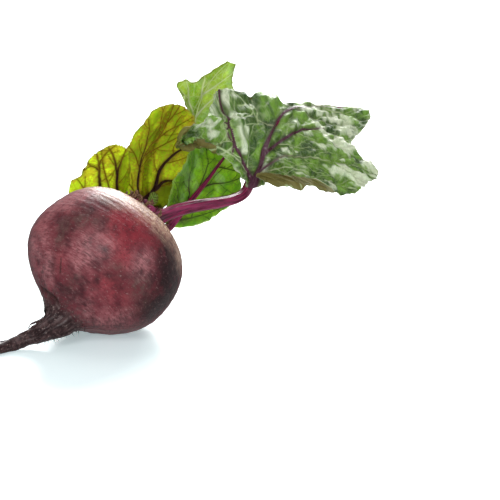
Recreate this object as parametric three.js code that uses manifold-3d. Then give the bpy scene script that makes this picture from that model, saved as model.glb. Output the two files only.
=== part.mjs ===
// A beetroot lying on its side: a flattened globe with its crown and tapering tap root, and eight leaves
// that grow from the crown. Millimetres, +Z up, the origin at the centre of the flat spot it rests on.
// Each leaf is two solids: a purple stalk, with the midrib and side veins that run on under the leaf, and
// the thin green blade that they carry.
import * as THREE from "three";
import Module from "manifold-3d";

const wasm = await Module();
wasm.setup();

// ---- Driving dimensions ----
const TAIL_DIRECTION = new THREE.Vector3(-0.55, -0.57, -0.61).normalize();
const BLADE_THICKNESS = 0.7;
const CLEARANCE = 0.3; // between the solids of one leaf, and round a stalk in its socket
const SOCKET_DEPTH = 4; // how far a stalk is sunk in the crown
const FULL_TURN = 2 * Math.PI;

const COLOURS = {
  skin: 0x5f2430,
  stalk: 0x6e1f3f,
  yellowGreen: 0x7f8f1c,
  midGreen: 0x4e7a24,
  lightGreen: 0x8fae3c,
  greyGreen: 0x66855a,
  heart: 0x6b7230,
};

// ---- Solids from grids of points ----

// The unit vector square to "along" that comes closest to "wish".
function squareTo(along, wish) {
  const share = wish.dot(along) / along.lengthSq();
  return wish.clone().addScaledVector(along, -share).normalize();
}

// A ring of points in the plane of two unit vectors. Its radius may depend on how far a point is "up".
function ringOf(centre, up, side, count, radius) {
  return Array.from({ length: count }, (_, k) => {
    const angle = ((k + 0.5) / count) * FULL_TURN;
    const r = radius(Math.cos(angle));
    return centre.clone().addScaledVector(up, r * Math.cos(angle)).addScaledVector(side, r * Math.sin(angle));
  });
}

const middleOf = (ring) => ring.reduce((sum, p) => sum.add(p), new THREE.Vector3()).divideScalar(ring.length);

// A closed solid from rings of points, each ring with the same count, and a pole at either end.
function closedTube(rings, startPole, endPole) {
  const count = rings[0].length;
  const points = [startPole, ...rings.flat(), endPole];
  const last = points.length - 1;
  const at = (ring, k) => 1 + ring * count + (k % count);
  const faces = [];
  for (let k = 0; k < count; k++) {
    faces.push([0, at(0, k + 1), at(0, k)]);
    faces.push([last, at(rings.length - 1, k), at(rings.length - 1, k + 1)]);
  }
  for (let i = 0; i + 1 < rings.length; i++)
    for (let k = 0; k < count; k++) {
      faces.push([at(i, k), at(i, k + 1), at(i + 1, k + 1)]);
      faces.push([at(i, k), at(i + 1, k + 1), at(i + 1, k)]);
    }
  return solidFrom(points, faces);
}

// A closed sheet between two grids of points of one size. Both faces are split along the same diagonals.
function closedSheet(top, bottom) {
  const rows = top.length;
  const columns = top[0].length;
  const points = [...top.flat(), ...bottom.flat()];
  const up = (i, j) => i * columns + j;
  const down = (i, j) => rows * columns + i * columns + j;
  const faces = [];
  for (let i = 0; i + 1 < rows; i++)
    for (let j = 0; j + 1 < columns; j++) {
      faces.push([up(i, j), up(i + 1, j), up(i + 1, j + 1)]);
      faces.push([up(i, j), up(i + 1, j + 1), up(i, j + 1)]);
      faces.push([down(i, j), down(i + 1, j + 1), down(i + 1, j)]);
      faces.push([down(i, j), down(i, j + 1), down(i + 1, j + 1)]);
    }
  const wall = (a, b, c, d) => faces.push([a, b, c], [a, c, d]);
  for (let i = 0; i + 1 < rows; i++) {
    wall(up(i, 0), down(i, 0), down(i + 1, 0), up(i + 1, 0));
    const j = columns - 1;
    wall(up(i + 1, j), down(i + 1, j), down(i, j), up(i, j));
  }
  for (let j = 0; j + 1 < columns; j++) {
    wall(up(0, j + 1), down(0, j + 1), down(0, j), up(0, j));
    const i = rows - 1;
    wall(up(i, j), down(i, j), down(i, j + 1), up(i, j + 1));
  }
  return solidFrom(points, faces);
}

// The solid that these faces close, turned to face outwards.
function solidFrom(points, faces) {
  const vertProperties = new Float32Array(points.flatMap((p) => [p.x, p.y, p.z]));
  const make = (list) =>
    new wasm.Manifold(new wasm.Mesh({ numProp: 3, vertProperties, triVerts: new Uint32Array(list.flat()) }));
  const solid = make(faces);
  return solid.volume() > 0 ? solid : make(faces.map(([a, b, c]) => [a, c, b]));
}

// A named three.js mesh of a solid.
function meshOf(name, solid, colour, roughness) {
  const { numProp, vertProperties, triVerts } = solid.getMesh();
  const position = new Float32Array((vertProperties.length / numProp) * 3);
  for (let i = 0; i < position.length / 3; i++)
    position.set(vertProperties.subarray(i * numProp, i * numProp + 3), i * 3);
  const geometry = new THREE.BufferGeometry()
    .setAttribute("position", new THREE.BufferAttribute(position, 3))
    .setIndex(new THREE.BufferAttribute(triVerts, 1));
  geometry.computeVertexNormals();
  const material = new THREE.MeshStandardMaterial({ color: colour, roughness, metalness: 0 });
  const mesh = new THREE.Mesh(geometry, material);
  mesh.name = name;
  return mesh;
}

// ---- The root ----

// Distance along the axis from the globe's middle, and radius there: crown, shoulders, globe and neck.
const ROOT_PROFILE = [
  [-31.3, 5.6], [-30.5, 9], [-29, 11.2], [-27.6, 14.6], [-26.2, 19.2], [-23.6, 24.8], [-18.8, 30],
  [-12, 33.9], [-3.5, 36], [5, 35.4], [13, 32.4], [19.5, 27.4], [24.5, 21.2], [28, 15.4], [31.5, 10.8],
  [35, 7.8],
];
const ROOT_SIDES = 28;
const CROWN_TOP = -31.8;

// The tail leaves the axis and lies down along the surface: places of its middle, and the radius at each.
const TAIL_MIDDLES = [
  [-25.2, -22.2, 8.4], [-30.8, -22.6, 5.4], [-36, -24, 3.6], [-40.2, -26.6, 2.6], [-45, -31, 2.2],
  [-56, -38.5, 1.95], [-69, -44, 1.7], [-83, -47.5, 1.35], [-96, -54, 1.05], [-107, -63, 0.8],
];
const TAIL_RADII = [4.8, 3.7, 3, 2.5, 2.15, 1.95, 1.7, 1.35, 1.05, 0.6];
const TAIL_TIP = [-111, -67, 0.6];
const TAIL_STEP = 12; // between these places, about

// Stalks cut off short, still on the crown: place (angle, distance from the axis), height and half thickness.
const STUBS = [
  { seat: [30, 8.2], height: 0.9, thickness: 2.3 },
  { seat: [75, 8.4], height: 0.6, thickness: 2 },
  { seat: [125, 8], height: 0.9, thickness: 2.2 },
];
const STUB = { depth: 5, lean: 0.4, taper: 0.9, sides: 8 }; // sunk in the crown, and leaning outwards

// Side roots of the tail.
const ROOTLETS = [
  { path: [[-22, -19, 12], [-26.5, -20.5, 12.6], [-30, -21, 11], [-33, -20, 8.6]], thickness: 0.8 },
  { path: [[-35, -23.5, 3.8], [-40, -20.5, 3], [-45, -17.5, 1.4], [-50, -17, 0.6]], thickness: 0.7 },
  { path: [[-55, -38, 1.9], [-59, -43, 1.3], [-64, -46, 0.7], [-70, -52, 0.5]], thickness: 0.65 },
  { path: [[-68, -43.6, 1.7], [-74, -41, 1.2], [-80, -40.5, 0.6], [-86, -37, 0.5]], thickness: 0.6 },
];
const ROOTLET = { tip: 0.4, sides: 6 }; // thickness at the tip as a share of that at the foot

// The root is laid out round the plumb line through its middle. It rests a little behind and beside it.
const GLOBE_MIDDLE = new THREE.Vector3(0, 0, 33);
const FLAT_SPOT = new THREE.Vector3(3, 4.7, 0);

// Two directions square to the root's axis: ACROSS is level, RISE climbs.
const ACROSS = new THREE.Vector3(0, 0, 1).cross(TAIL_DIRECTION).normalize();
const RISE = TAIL_DIRECTION.clone().cross(ACROSS).normalize();

// Low swellings: share of the radius, lobes round the root, the angle where they start and how that turns
// along the axis. Then the two furrows that run up from the tail.
const SWELLINGS = [[0.016, 2, 0.7, 0], [0.011, 3, 0, 0.09], [0.007, 5, 2, 0]];
const FURROW = { depth: 0.13, angle: 0.5, middle: 30, length: 7, sharpness: 8 };

function unevenness(angle, s) {
  const swelling = SWELLINGS.reduce(
    (sum, [share, lobes, start, turn]) => sum + share * Math.sin(lobes * angle + start + turn * s),
    0,
  );
  const nearTail = Math.exp(-(((s - FURROW.middle) / FURROW.length) ** 2));
  const furrows = FURROW.depth * nearTail * Math.cos(angle - FURROW.angle) ** FURROW.sharpness;
  return 1 + swelling - furrows;
}

const crownPoint = (s) => GLOBE_MIDDLE.clone().addScaledVector(TAIL_DIRECTION, s);

// Square to the axis: 0 degrees is ACROSS and 90 is RISE.
function crownDirection(degrees) {
  const angle = THREE.MathUtils.degToRad(degrees);
  return ACROSS.clone().multiplyScalar(Math.cos(angle)).addScaledVector(RISE, Math.sin(angle));
}

function rootRing(middle, first, second, radius, s) {
  return Array.from({ length: ROOT_SIDES }, (_, k) => {
    const angle = (k / ROOT_SIDES) * FULL_TURN;
    const r = radius * unevenness(angle, s);
    const outwards = first.clone().multiplyScalar(Math.cos(angle)).addScaledVector(second, Math.sin(angle));
    return middle.clone().addScaledVector(outwards, r);
  });
}

// Rings of the globe along its axis, and then of the tail along its own middle line.
function rootTube() {
  const rings = ROOT_PROFILE.map(([s, radius]) => rootRing(crownPoint(s), ACROSS, RISE, radius, s));
  const neckEnd = ROOT_PROFILE.at(-1)[0];
  const middles = TAIL_MIDDLES.map((p) => new THREE.Vector3(...p));
  middles.forEach((middle, i) => {
    const previous = i ? middles[i - 1] : crownPoint(neckEnd);
    const next = middles[i + 1] ?? middle;
    const along = next.clone().sub(previous).normalize();
    const first = squareTo(along, ACROSS);
    const s = neckEnd + TAIL_STEP * (i + 1);
    rings.push(rootRing(middle, first, along.clone().cross(first), TAIL_RADII[i], s));
  });
  return closedTube(rings, crownPoint(CROWN_TOP), new THREE.Vector3(...TAIL_TIP));
}

function stub({ seat: [angle, radius], height, thickness }) {
  const outwards = crownDirection(angle);
  const foot = crownPoint(CROWN_TOP + STUB.depth).addScaledVector(outwards, radius);
  const top = crownPoint(CROWN_TOP - height).addScaledVector(outwards, radius + STUB.lean * height);
  const radii = [thickness, thickness, STUB.taper * thickness];
  return plainTube([foot, foot.clone().lerp(top, 0.5), top], radii, STUB.sides);
}

function rootlet({ path, thickness }) {
  const points = path.map((p) => new THREE.Vector3(...p));
  const shareAt = (i) => THREE.MathUtils.lerp(1, ROOTLET.tip, i / (points.length - 1));
  const radii = points.map((_, i) => thickness * shareAt(i));
  return plainTube(points, radii, ROOTLET.sides);
}

const rootBody = () => wasm.Manifold.union([rootTube(), ...STUBS.map(stub), ...ROOTLETS.map(rootlet)]);

// A round tube along a path with a radius at each of its points.
function plainTube(path, radii, sides) {
  const rings = path.map((middle, i) => {
    const along = (path[i + 1] ?? middle).clone().sub(path[i - 1] ?? middle).normalize();
    const first = squareTo(along, new THREE.Vector3(0, 0, 1));
    return ringOf(middle, first, along.clone().cross(first), sides, () => radii[i]);
  });
  return closedTube(rings, path[0].clone(), path.at(-1).clone());
}

// ---- A leaf ----

const STALK_STEPS = 9; // along the stalk, and as many again along the midrib
const MIDRIB_END = 0.93;
const STALK_SIDES = 8;
const HOLLOW = 0.3; // how far the stalk's upper side is sunk, as a share of its radius
// Side veins: none on a half narrower than "shortest". "atTip" and "atRim" are shares of the full radius.
const VEIN = { sides: 4, shortest: 5, atTip: 0.4, atRim: 0.25 };
const ROWS = 22; // steps along the midrib
const COLUMNS = 5; // steps from the midrib to either rim
const VEIN_ROWS = [2, 5, 8, 12, 16]; // the steps from which side veins leave the midrib
const ENDS = 0.015; // a blade's two ends as places along its midrib, where it still has a width
const ROW_CROWDING = 1.35; // rows lie closer together towards the broad base
const ROUNDNESS = 0.5; // tension of a curve through points of a leaf
const STEP = 1e-3; // between two places where a slope is read
const FOLD = 0.02; // the place beside the midrib where the slope of a half is read
const FACET_ROOM = 0.2; // between a midrib and the blade's flat facets, which cut the curve's corners

// A smooth curve through these places.
const smoothCurve = (places) =>
  new THREE.CatmullRomCurve3(places.map((p) => new THREE.Vector3(...p)), false, "catmullrom", ROUNDNESS);

// A quadratic through three values, at the leaf's base, middle and tip.
const through = ([base, middle, tip], u) =>
  base * (1 - u) * (1 - 2 * u) + middle * 4 * u * (1 - u) + tip * u * (2 * u - 1);

class Leaf {
  constructor(spec) {
    Object.assign(this, { rows: ROWS, columns: COLUMNS, veinRows: VEIN_ROWS }, spec);
    this.ribCurve = smoothCurve(spec.rib);
    this.rims = [spec.left, spec.right].map(({ rim }) => smoothCurve(rim));
    const [base, next] = this.ribCurve.points;
    const start = next.clone().sub(base).normalize();
    const [angle, radius] = spec.seat;
    const outwards = crownDirection(angle);
    const rising = TAIL_DIRECTION.clone().negate().addScaledVector(outwards, spec.lean).normalize();
    // The stalk hangs under its curve, so the curve starts above the seat.
    const above = squareTo(rising, this.foldNormal(0));
    const foot = crownPoint(CROWN_TOP + SOCKET_DEPTH)
      .addScaledVector(outwards, radius)
      .addScaledVector(above, this.hang(0, spec.stalkRadii[0]));
    this.stalkCurve = new THREE.CubicBezierCurve3(
      foot,
      foot.clone().addScaledVector(rising, spec.rise),
      base.clone().addScaledVector(start, -spec.arrive),
      base,
    );
  }

  // Along the leaf, t runs from -1 at the crown over 0 where the blade starts to 1 at its tip.
  frame(t) {
    const curve = t < 0 ? this.stalkCurve : this.ribCurve;
    const place = t < 0 ? t + 1 : t;
    const middle = curve.getPoint(place);
    const along = curve.getTangent(place);
    const [x, y, z] = [0, 1, 2].map((k) => through(this.face.map((looks) => looks[k]), Math.max(t, 0)));
    return { middle, along, face: squareTo(along, new THREE.Vector3(x, y, z)) };
  }

  // A point of the blade's middle surface: v runs from -1 at the left rim over 0 at the midrib to 1 at the
  // right rim. Between them the blade bows by a share of its half width, and towards the rim it is ruffled.
  surface(u, v) {
    const { middle, face } = this.frame(u);
    const half = v < 0 ? this.left : this.right;
    const s = Math.abs(v);
    const out = this.rims[v < 0 ? 0 : 1].getPoint(u).sub(middle);
    const bow = through(half.bow, u) * out.length() * 4 * s * (1 - s);
    const [height, waves, phase] = half.ruffle;
    const calm = Math.sqrt(Math.max(Math.sin(Math.PI * u), 0)); // no ruffle at base and tip
    const ruffle = height * s * s * calm * Math.sin(FULL_TURN * (waves * u + phase));
    return middle.addScaledVector(squareTo(out, face), bow + ruffle).addScaledVector(out, s);
  }

  // The surface's unit normal, on the side that the leaf's face looks to.
  normal(u, v) {
    const du = this.surface(Math.min(u + STEP, 1), v).sub(this.surface(Math.max(u - STEP, 0), v));
    const dv = this.surface(u, Math.min(v + STEP, 1)).sub(this.surface(u, Math.max(v - STEP, -1)));
    return dv.cross(du).normalize();
  }

  // The mean of the two halves' normals beside the midrib: the flatter the fold, the nearer to unit length.
  foldNormal(t) {
    const u = Math.max(t, FOLD);
    return this.normal(u, FOLD).add(this.normal(u, -FOLD)).multiplyScalar(0.5);
  }

  // How far the middle of a stalk of this radius hangs below the fold, which it clears on both sides.
  hang(t, radius) {
    return (BLADE_THICKNESS / 2 + CLEARANCE + radius) / this.foldNormal(t).length() + FACET_ROOM;
  }

  // The rows' places along the midrib, from one end of the blade to the other.
  rowPlaces() {
    const place = (i) => THREE.MathUtils.lerp(ENDS, 1 - ENDS, (i / this.rows) ** ROW_CROWDING);
    return Array.from({ length: this.rows + 1 }, (_, i) => place(i));
  }

  // The blade as two faces of one grid, either side of the middle surface.
  blade() {
    const face = (height) =>
      this.rowPlaces().map((u) =>
        Array.from({ length: 2 * this.columns + 1 }, (_, j) => {
          const v = j / this.columns - 1;
          return this.surface(u, v).addScaledVector(this.normal(u, v), height);
        }),
      );
    return closedSheet(face(BLADE_THICKNESS / 2), face(-BLADE_THICKNESS / 2));
  }

  // Stoutest at the crown, and tapering ever less along the stalk and then steadily along the midrib.
  stalkRadius(t) {
    const [root, base, tip] = this.stalkRadii;
    return t < 0 ? THREE.MathUtils.lerp(base, root, (-t) ** 1.5) : THREE.MathUtils.lerp(base, tip, t ** 0.8);
  }

  // The midrib's middle at t, and the direction from there to the fold.
  underFold(t) {
    const { middle, along } = this.frame(t);
    const up = squareTo(along, this.foldNormal(t));
    return { along, up, centre: middle.addScaledVector(up, -this.hang(t, this.stalkRadius(t))) };
  }

  // The stalk and midrib, half round below and hollowed on top, growing stouter by extra all round.
  stalkTube(extra = 0, steps = 2 * STALK_STEPS) {
    const rings = Array.from({ length: steps + 1 }, (_, i) => {
      const t = i < STALK_STEPS ? i / STALK_STEPS - 1 : (MIDRIB_END * (i - STALK_STEPS)) / STALK_STEPS;
      const { along, up, centre } = this.underFold(t);
      if (i === 0) centre.addScaledVector(along, -extra);
      const r = this.stalkRadius(t);
      const reach = (height) => r * (1 - HOLLOW * Math.max(height, 0) ** 2) + extra;
      return ringOf(centre, up, along.clone().cross(up), STALK_SIDES, reach);
    });
    return closedTube(rings, middleOf(rings[0]), middleOf(rings.at(-1)));
  }

  // A side vein, from the middle of the midrib and then just under the blade towards the rim.
  sideVein(row, sign) {
    const u = this.rowPlaces()[row];
    const { along, up, centre: start } = this.underFold(u);
    const size = this.veinRadius * THREE.MathUtils.lerp(1, VEIN.atTip, u);
    const rings = Array.from({ length: this.columns }, (_, j) => {
      const s = j / this.columns;
      const r = size * THREE.MathUtils.lerp(1, VEIN.atRim, s);
      if (j === 0) return ringOf(start, up, along, VEIN.sides, () => r);
      const normal = this.normal(u, sign * s);
      const out = this.surface(u, sign * (s + STEP)).sub(this.surface(u, sign * s)).normalize();
      const below = BLADE_THICKNESS / 2 + CLEARANCE + FACET_ROOM + r;
      const centre = this.surface(u, sign * s).addScaledVector(normal, -below);
      return ringOf(centre, normal, normal.clone().cross(out).multiplyScalar(sign), VEIN.sides, () => r);
    });
    return closedTube(rings, start.clone(), middleOf(rings.at(-1)));
  }

  stalk() {
    const sides = this.veinRows.flatMap((row) => [[row, -1], [row, 1]]);
    const wide = sides.filter(([row, sign]) => {
      const u = this.rowPlaces()[row];
      return this.surface(u, sign).distanceTo(this.surface(u, 0)) > VEIN.shortest;
    });
    return wasm.Manifold.union([this.stalkTube(), ...wide.map(([row, sign]) => this.sideVein(row, sign))]);
  }
}

// A leaf behind the root, whose midrib runs straight in plan while it sinks from the base to the tip. Each half
// swells from the neck to its full width and narrows to a rounded tip.
const DROOP = { places: 9, steepness: 1.5, neck: 3, fullness: 0.7, roundness: 0.7 };

function droopingLeaf({ base, tip, halfWidths: [leftWidth, rightWidth], ruffle }) {
  const [start, end] = [base, tip].map((place) => new THREE.Vector3(...place));
  const across = end.clone().sub(start).cross(new THREE.Vector3(0, 0, 1)).normalize();
  const swelling = (u) => Math.sin(Math.PI * u ** DROOP.fullness) ** DROOP.roundness;
  // Places along a line beside the midrib: this far from it at the base, and as far again as the leaf swells.
  const line = (neck, width) =>
    Array.from({ length: DROOP.places }, (_, i) => {
      const u = i / (DROOP.places - 1);
      const middle = start.clone().lerp(end, u);
      middle.z = THREE.MathUtils.lerp(end.z, start.z, (1 - u) ** DROOP.steepness);
      return middle.addScaledVector(across, neck * (1 - u) + width * swelling(u)).toArray();
    });
  const bow = [-0.04, -0.04, -0.04];
  return {
    colour: COLOURS.midGreen,
    lean: 0.6,
    rise: 12,
    arrive: 12,
    face: [[0, 0, 1], [0, 0, 1], [0, 0, 1]],
    rib: line(0, 0),
    left: { rim: line(-DROOP.neck, -leftWidth), bow, ruffle: [ruffle, 4, 0.2] },
    right: { rim: line(DROOP.neck, rightWidth), bow, ruffle: [ruffle, 4, 0.4] },
    stalkRadii: [2.4, 2.2, 0.5],
    veinRadius: 0.9,
  };
}

// Each leaf: the stalk's seat on the crown (angle, distance from the axis), how it leans outwards, rises and
// arrives at the blade; the way the upper face looks at base, middle and tip; places along the midrib; and
// for either half places along its rim, the bow at base, middle and tip, and the ruffle's height, waves and
// phase.
const LEAVES = [
  {
    name: "leaf_left",
    colour: COLOURS.yellowGreen,
    rows: 18,
    veinRows: [2, 5, 8, 11, 14],
    seat: [170, 8.5],
    lean: 0.5,
    rise: 6,
    arrive: 5,
    face: [[0, -1, 0], [-0.1, -1, -0.1], [-0.3, -1, 0]],
    rib: [[7, 34.5, 54], [-4, 37.5, 55.5], [-17, 36.5, 51.5]],
    left: {
      rim: [[3, 35, 50.5], [-2, 37, 46], [-8, 38, 47], [-17, 36.5, 50.5]],
      bow: [-0.02, -0.02, -0.02],
      ruffle: [0.4, 3, 0.3],
    },
    right: {
      rim: [
        [10.5, 33, 64], [9.5, 32, 78], [3.5, 33, 81], [-4, 32.5, 78], [-8.5, 35, 74],
        [-12.5, 36, 66.5], [-17, 36.5, 63.5], [-19, 37.5, 58], [-17.5, 36.5, 51.5],
      ],
      bow: [0.02, 0, -0.02],
      ruffle: [1, 3, 0.1],
    },
    stalkRadii: [2, 1.6, 0.4],
    veinRadius: 0.8,
  },
  {
    name: "leaf_tall",
    colour: COLOURS.yellowGreen,
    seat: [110, 5],
    lean: 0.1,
    rise: 8,
    arrive: 5,
    face: [[0, -1, 0.3], [0, -1, 0.45], [0, -0.9, 0.5]],
    rib: [[16, 31.5, 57], [19, 41, 75], [30, 53, 95.5]],
    left: {
      rim: [
        [15, 32, 56.5], [7.5, 39, 58.5], [4, 44.5, 66], [5.5, 50, 73], [10, 52.5, 79],
        [14.5, 56, 85.5], [19, 56, 91], [24.5, 55.5, 94.5], [30, 53.5, 96],
      ],
      bow: [-0.05, -0.05, -0.05],
      ruffle: [0.8, 4, 0.1],
    },
    right: {
      rim: [
        [17.5, 31, 55], [26, 37.5, 50], [33, 43.5, 53], [35.5, 48, 62], [38, 52, 70.5], [40, 54, 79.5],
        [39, 55, 89], [35.5, 55, 94], [31, 53.5, 95.5],
      ],
      bow: [0, -0.02, -0.02],
      ruffle: [1.2, 4, 0.3],
    },
    stalkRadii: [1.8, 1.3, 0.4],
    veinRadius: 0.8,
  },
  {
    name: "leaf_upright",
    colour: COLOURS.lightGreen,
    rows: 18,
    veinRows: [2, 5, 8, 11, 14],
    seat: [235, 3.4],
    lean: 0.75,
    rise: 12,
    arrive: 22,
    face: [[0.1, -1, 0.3], [0.1, -1, 0.3], [0, -1, 0.5]],
    rib: [
      [36.5, 71, 69], [37.5, 74, 76], [39, 77.5, 82.5], [40.5, 82, 89], [43.5, 87, 95.5],
      [48, 93, 102], [55.5, 100, 108.5],
    ],
    left: {
      rim: [
        [35, 70, 70.5], [35.5, 73, 78.5], [35.5, 76, 87], [34, 79, 94.5], [30, 81, 100.5],
        [34.5, 85, 102.5], [37.5, 87.5, 100], [42.5, 91, 102.5], [48, 95, 105.5], [54.5, 99.5, 109],
      ],
      bow: [0.02, 0.02, 0.02],
      ruffle: [0.6, 3, 0.1],
    },
    right: {
      rim: [
        [39, 72, 70], [45.5, 77, 75], [51.5, 83, 81.5], [56, 88, 88], [58, 92, 94.5],
        [57.5, 95.5, 101], [59, 99.5, 107],
      ],
      bow: [-0.03, -0.03, -0.03],
      ruffle: [0.8, 3, 0.4],
    },
    stalkRadii: [2.2, 1.6, 0.4],
    veinRadius: 0.6,
  },
  {
    name: "leaf_turned",
    colour: COLOURS.midGreen,
    rows: 18,
    veinRows: [2, 5, 8, 11, 14],
    seat: [278, 8.5],
    lean: 0.5,
    rise: 6,
    arrive: 6,
    face: [[0.3, 0.9, 0.2], [0.3, 0.9, 0.2], [0.3, 0.9, 0.2]],
    rib: [[27.5, 34.5, 42], [57, 71, 71]],
    left: {
      rim: [
        [28.5, 36, 40], [38.5, 42, 39.5], [48.5, 51.5, 41.5], [57, 61, 46], [61.5, 67, 51],
        [62.5, 69, 58], [61, 68, 66], [58, 71, 70.5],
      ],
      bow: [0.02, 0.02, 0.02],
      ruffle: [1, 3, 0.1],
    },
    right: {
      rim: [
        [26.5, 35, 43], [27.5, 32, 53], [31, 33.5, 62.5], [34.5, 37, 69], [37.5, 43, 74],
        [43.5, 62, 75], [49.5, 67, 74], [55.5, 70.5, 71.5],
      ],
      bow: [0.02, 0.04, 0.02],
      ruffle: [1, 3, 0.3],
    },
    stalkRadii: [2.2, 1.9, 0.5],
    veinRadius: 0.8,
  },
  {
    name: "leaf_large",
    colour: COLOURS.greyGreen,
    rows: 28,
    columns: 6,
    veinRows: [3, 6, 10, 15, 20],
    seat: [350, 8],
    lean: 0.3,
    rise: 20,
    arrive: 12,
    face: [[0, -1, 0.35], [0.05, -0.6, 0.8], [0.1, -0.1, 1]],
    rib: [
      [66.5, 60, 53.5], [70, 62.5, 63], [74, 67, 74.5], [78.5, 74, 82.5], [85, 85, 87.5],
      [98, 100, 86], [112, 112, 84], [125, 122, 80.5],
    ],
    left: {
      rim: [
        [64.5, 59, 54], [60, 55, 62], [52.5, 49.5, 72], [41.5, 44, 79], [31.5, 40, 77], [34, 42, 82],
        [43, 50, 87], [47.5, 61, 95.5], [51, 70, 100], [65, 83, 93.5], [90.5, 104, 86],
        [124, 121.5, 80.5],
      ],
      bow: [0.06, 0.03, -0.02],
      ruffle: [0.8, 4, 0.1],
    },
    right: {
      rim: [
        [69.5, 61, 53.5], [75.5, 59, 57], [89.5, 57, 55.5], [104, 58, 53], [115, 64, 49],
        [122.5, 68, 52], [130, 76, 58.5], [116.5, 84, 64.5], [117.5, 94, 70.5], [126, 108, 77],
        [126, 122, 80.5],
      ],
      bow: [-0.04, -0.02, 0],
      ruffle: [1.5, 4, 0.4],
    },
    stalkRadii: [3.2, 2.6, 0.5],
    veinRadius: 1.1,
  },
  {
    name: "leaf_back_left",
    seat: [205, 8.5],
    ...droopingLeaf({ base: [-9, 75, 30], tip: [-40, 138, 1.5], halfWidths: [16, 12], ruffle: 1.8 }),
  },
  {
    name: "leaf_back",
    seat: [240, 8.5],
    ...droopingLeaf({ base: [13.5, 78, 31], tip: [15.5, 148, 1.5], halfWidths: [10.5, 10.5], ruffle: 1.4 }),
  },
  {
    name: "leaf_heart",
    colour: COLOURS.heart,
    rows: 10,
    columns: 3,
    veinRows: [],
    seat: [330, 2.5],
    lean: 0.1,
    rise: 2,
    arrive: 2,
    face: [[0.5, -0.8, 0.3], [0.5, -0.8, 0.3], [0.5, -0.8, 0.3]],
    rib: [[19.5, 20, 54.5], [20.2, 21.2, 55.8], [21, 22.4, 57], [22, 23.6, 58], [23, 24.8, 58.8]],
    left: {
      rim: [[19, 20.2, 54.9], [18.9, 21.4, 57.4], [19.8, 22.6, 59.4], [21.3, 23.8, 60.2], [22.7, 24.8, 59.3]],
      bow: [0.08, 0.08, 0.08],
      ruffle: [0.3, 3, 0.1],
    },
    right: {
      rim: [[20, 19.9, 54.4], [22.1, 20.8, 55], [23.3, 22, 56.3], [23.7, 23.3, 57.6], [23.4, 24.7, 58.6]],
      bow: [0.08, 0.08, 0.08],
      ruffle: [0.3, 3, 0.3],
    },
    stalkRadii: [0.9, 0.7, 0.35],
    veinRadius: 0.5,
  },
];

const leaves = LEAVES.map((spec) => new Leaf(spec));
let root = rootBody().trimByPlane([0, 0, 1], 0); // the flat spot
for (const leaf of leaves) root = root.subtract(leaf.stalkTube(CLEARANCE, STALK_STEPS));
const group = new THREE.Group();
group.position.copy(FLAT_SPOT).negate();
group.add(meshOf("root", root, COLOURS.skin, 0.55));
for (const leaf of leaves) {
  group.add(meshOf(leaf.name + "_stalk", leaf.stalk(), COLOURS.stalk, 0.4));
  group.add(meshOf(leaf.name + "_blade", leaf.blade(), leaf.colour, 0.5));
}

export default group;
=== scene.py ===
import bpy
import numpy as np
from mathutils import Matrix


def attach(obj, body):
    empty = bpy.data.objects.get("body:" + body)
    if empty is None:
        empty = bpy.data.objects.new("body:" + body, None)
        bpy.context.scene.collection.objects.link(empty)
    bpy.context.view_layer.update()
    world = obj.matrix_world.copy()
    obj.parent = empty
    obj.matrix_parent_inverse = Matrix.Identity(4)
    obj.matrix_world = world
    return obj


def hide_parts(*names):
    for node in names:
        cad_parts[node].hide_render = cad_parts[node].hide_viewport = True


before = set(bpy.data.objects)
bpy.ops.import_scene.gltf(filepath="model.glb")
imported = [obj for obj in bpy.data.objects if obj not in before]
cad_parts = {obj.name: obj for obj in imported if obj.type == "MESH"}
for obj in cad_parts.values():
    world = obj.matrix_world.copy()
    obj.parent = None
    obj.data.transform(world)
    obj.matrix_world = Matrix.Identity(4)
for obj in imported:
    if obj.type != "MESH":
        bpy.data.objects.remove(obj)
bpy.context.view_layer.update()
print("nodes in the frame:", len(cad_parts))

# %% [markdown]
# ## Camera, floor and light
# The beetroot is looked down on a little, from far away with a long lens, so that it looks as it does on a
# table a few steps off. A short lens from close by would swell the root and shrink the leaves. It lies on a
# plain pale floor under a dim white sky, in the light of soft lamps: one before it, a smaller one at its
# right, a wide one above, and a low sun behind it. The sun matters most for the leaves: it shines through
# them, and only so do their thin parts glow.
# %% Camera
MM = 0.001


def look_from(name, place, tilt, lens):
    """A camera at a place, tilted down from the level by some degrees and looking along +Y."""
    data = bpy.data.cameras.new(name)
    data.lens = lens
    data.sensor_width = 36
    camera = bpy.data.objects.new(name, data)
    camera.location = np.multiply(place, MM)
    camera.rotation_euler = (np.radians(90 - tilt), 0, 0)
    bpy.context.scene.collection.objects.link(camera)
    bpy.context.scene.camera = camera
    return camera


camera = look_from("camera", place=(62.77, -776.04, 245.68), tilt=15, lens=127.9)
print("camera at", [round(c, 3) for c in camera.location])

# %% Lamps and sky
bpy.context.scene.view_settings.view_transform = "Standard"
SKY = 0.3
world = bpy.data.worlds.new("studio")
world.use_nodes = True
world.node_tree.nodes["Background"].inputs["Color"].default_value = (1, 1, 1, 1)
world.node_tree.nodes["Background"].inputs["Strength"].default_value = SKY
bpy.context.scene.world = world


def soft_lamp(name, place, target, size, watts):
    """A square lamp of a size, at a place, turned so that its -Z axis looks at the target. Places in mm."""
    data = bpy.data.lights.new(name, "AREA")
    data.shape = "SQUARE"
    data.size = size * MM
    data.energy = watts
    lamp = bpy.data.objects.new(name, data)
    place, target = np.multiply(place, MM), np.multiply(target, MM)
    lamp.location = place
    x, y, z = place - target
    lamp.rotation_euler = (np.arctan2(np.hypot(x, y), z), 0, np.arctan2(x, -y))
    bpy.context.scene.collection.objects.link(lamp)
    return lamp


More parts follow.
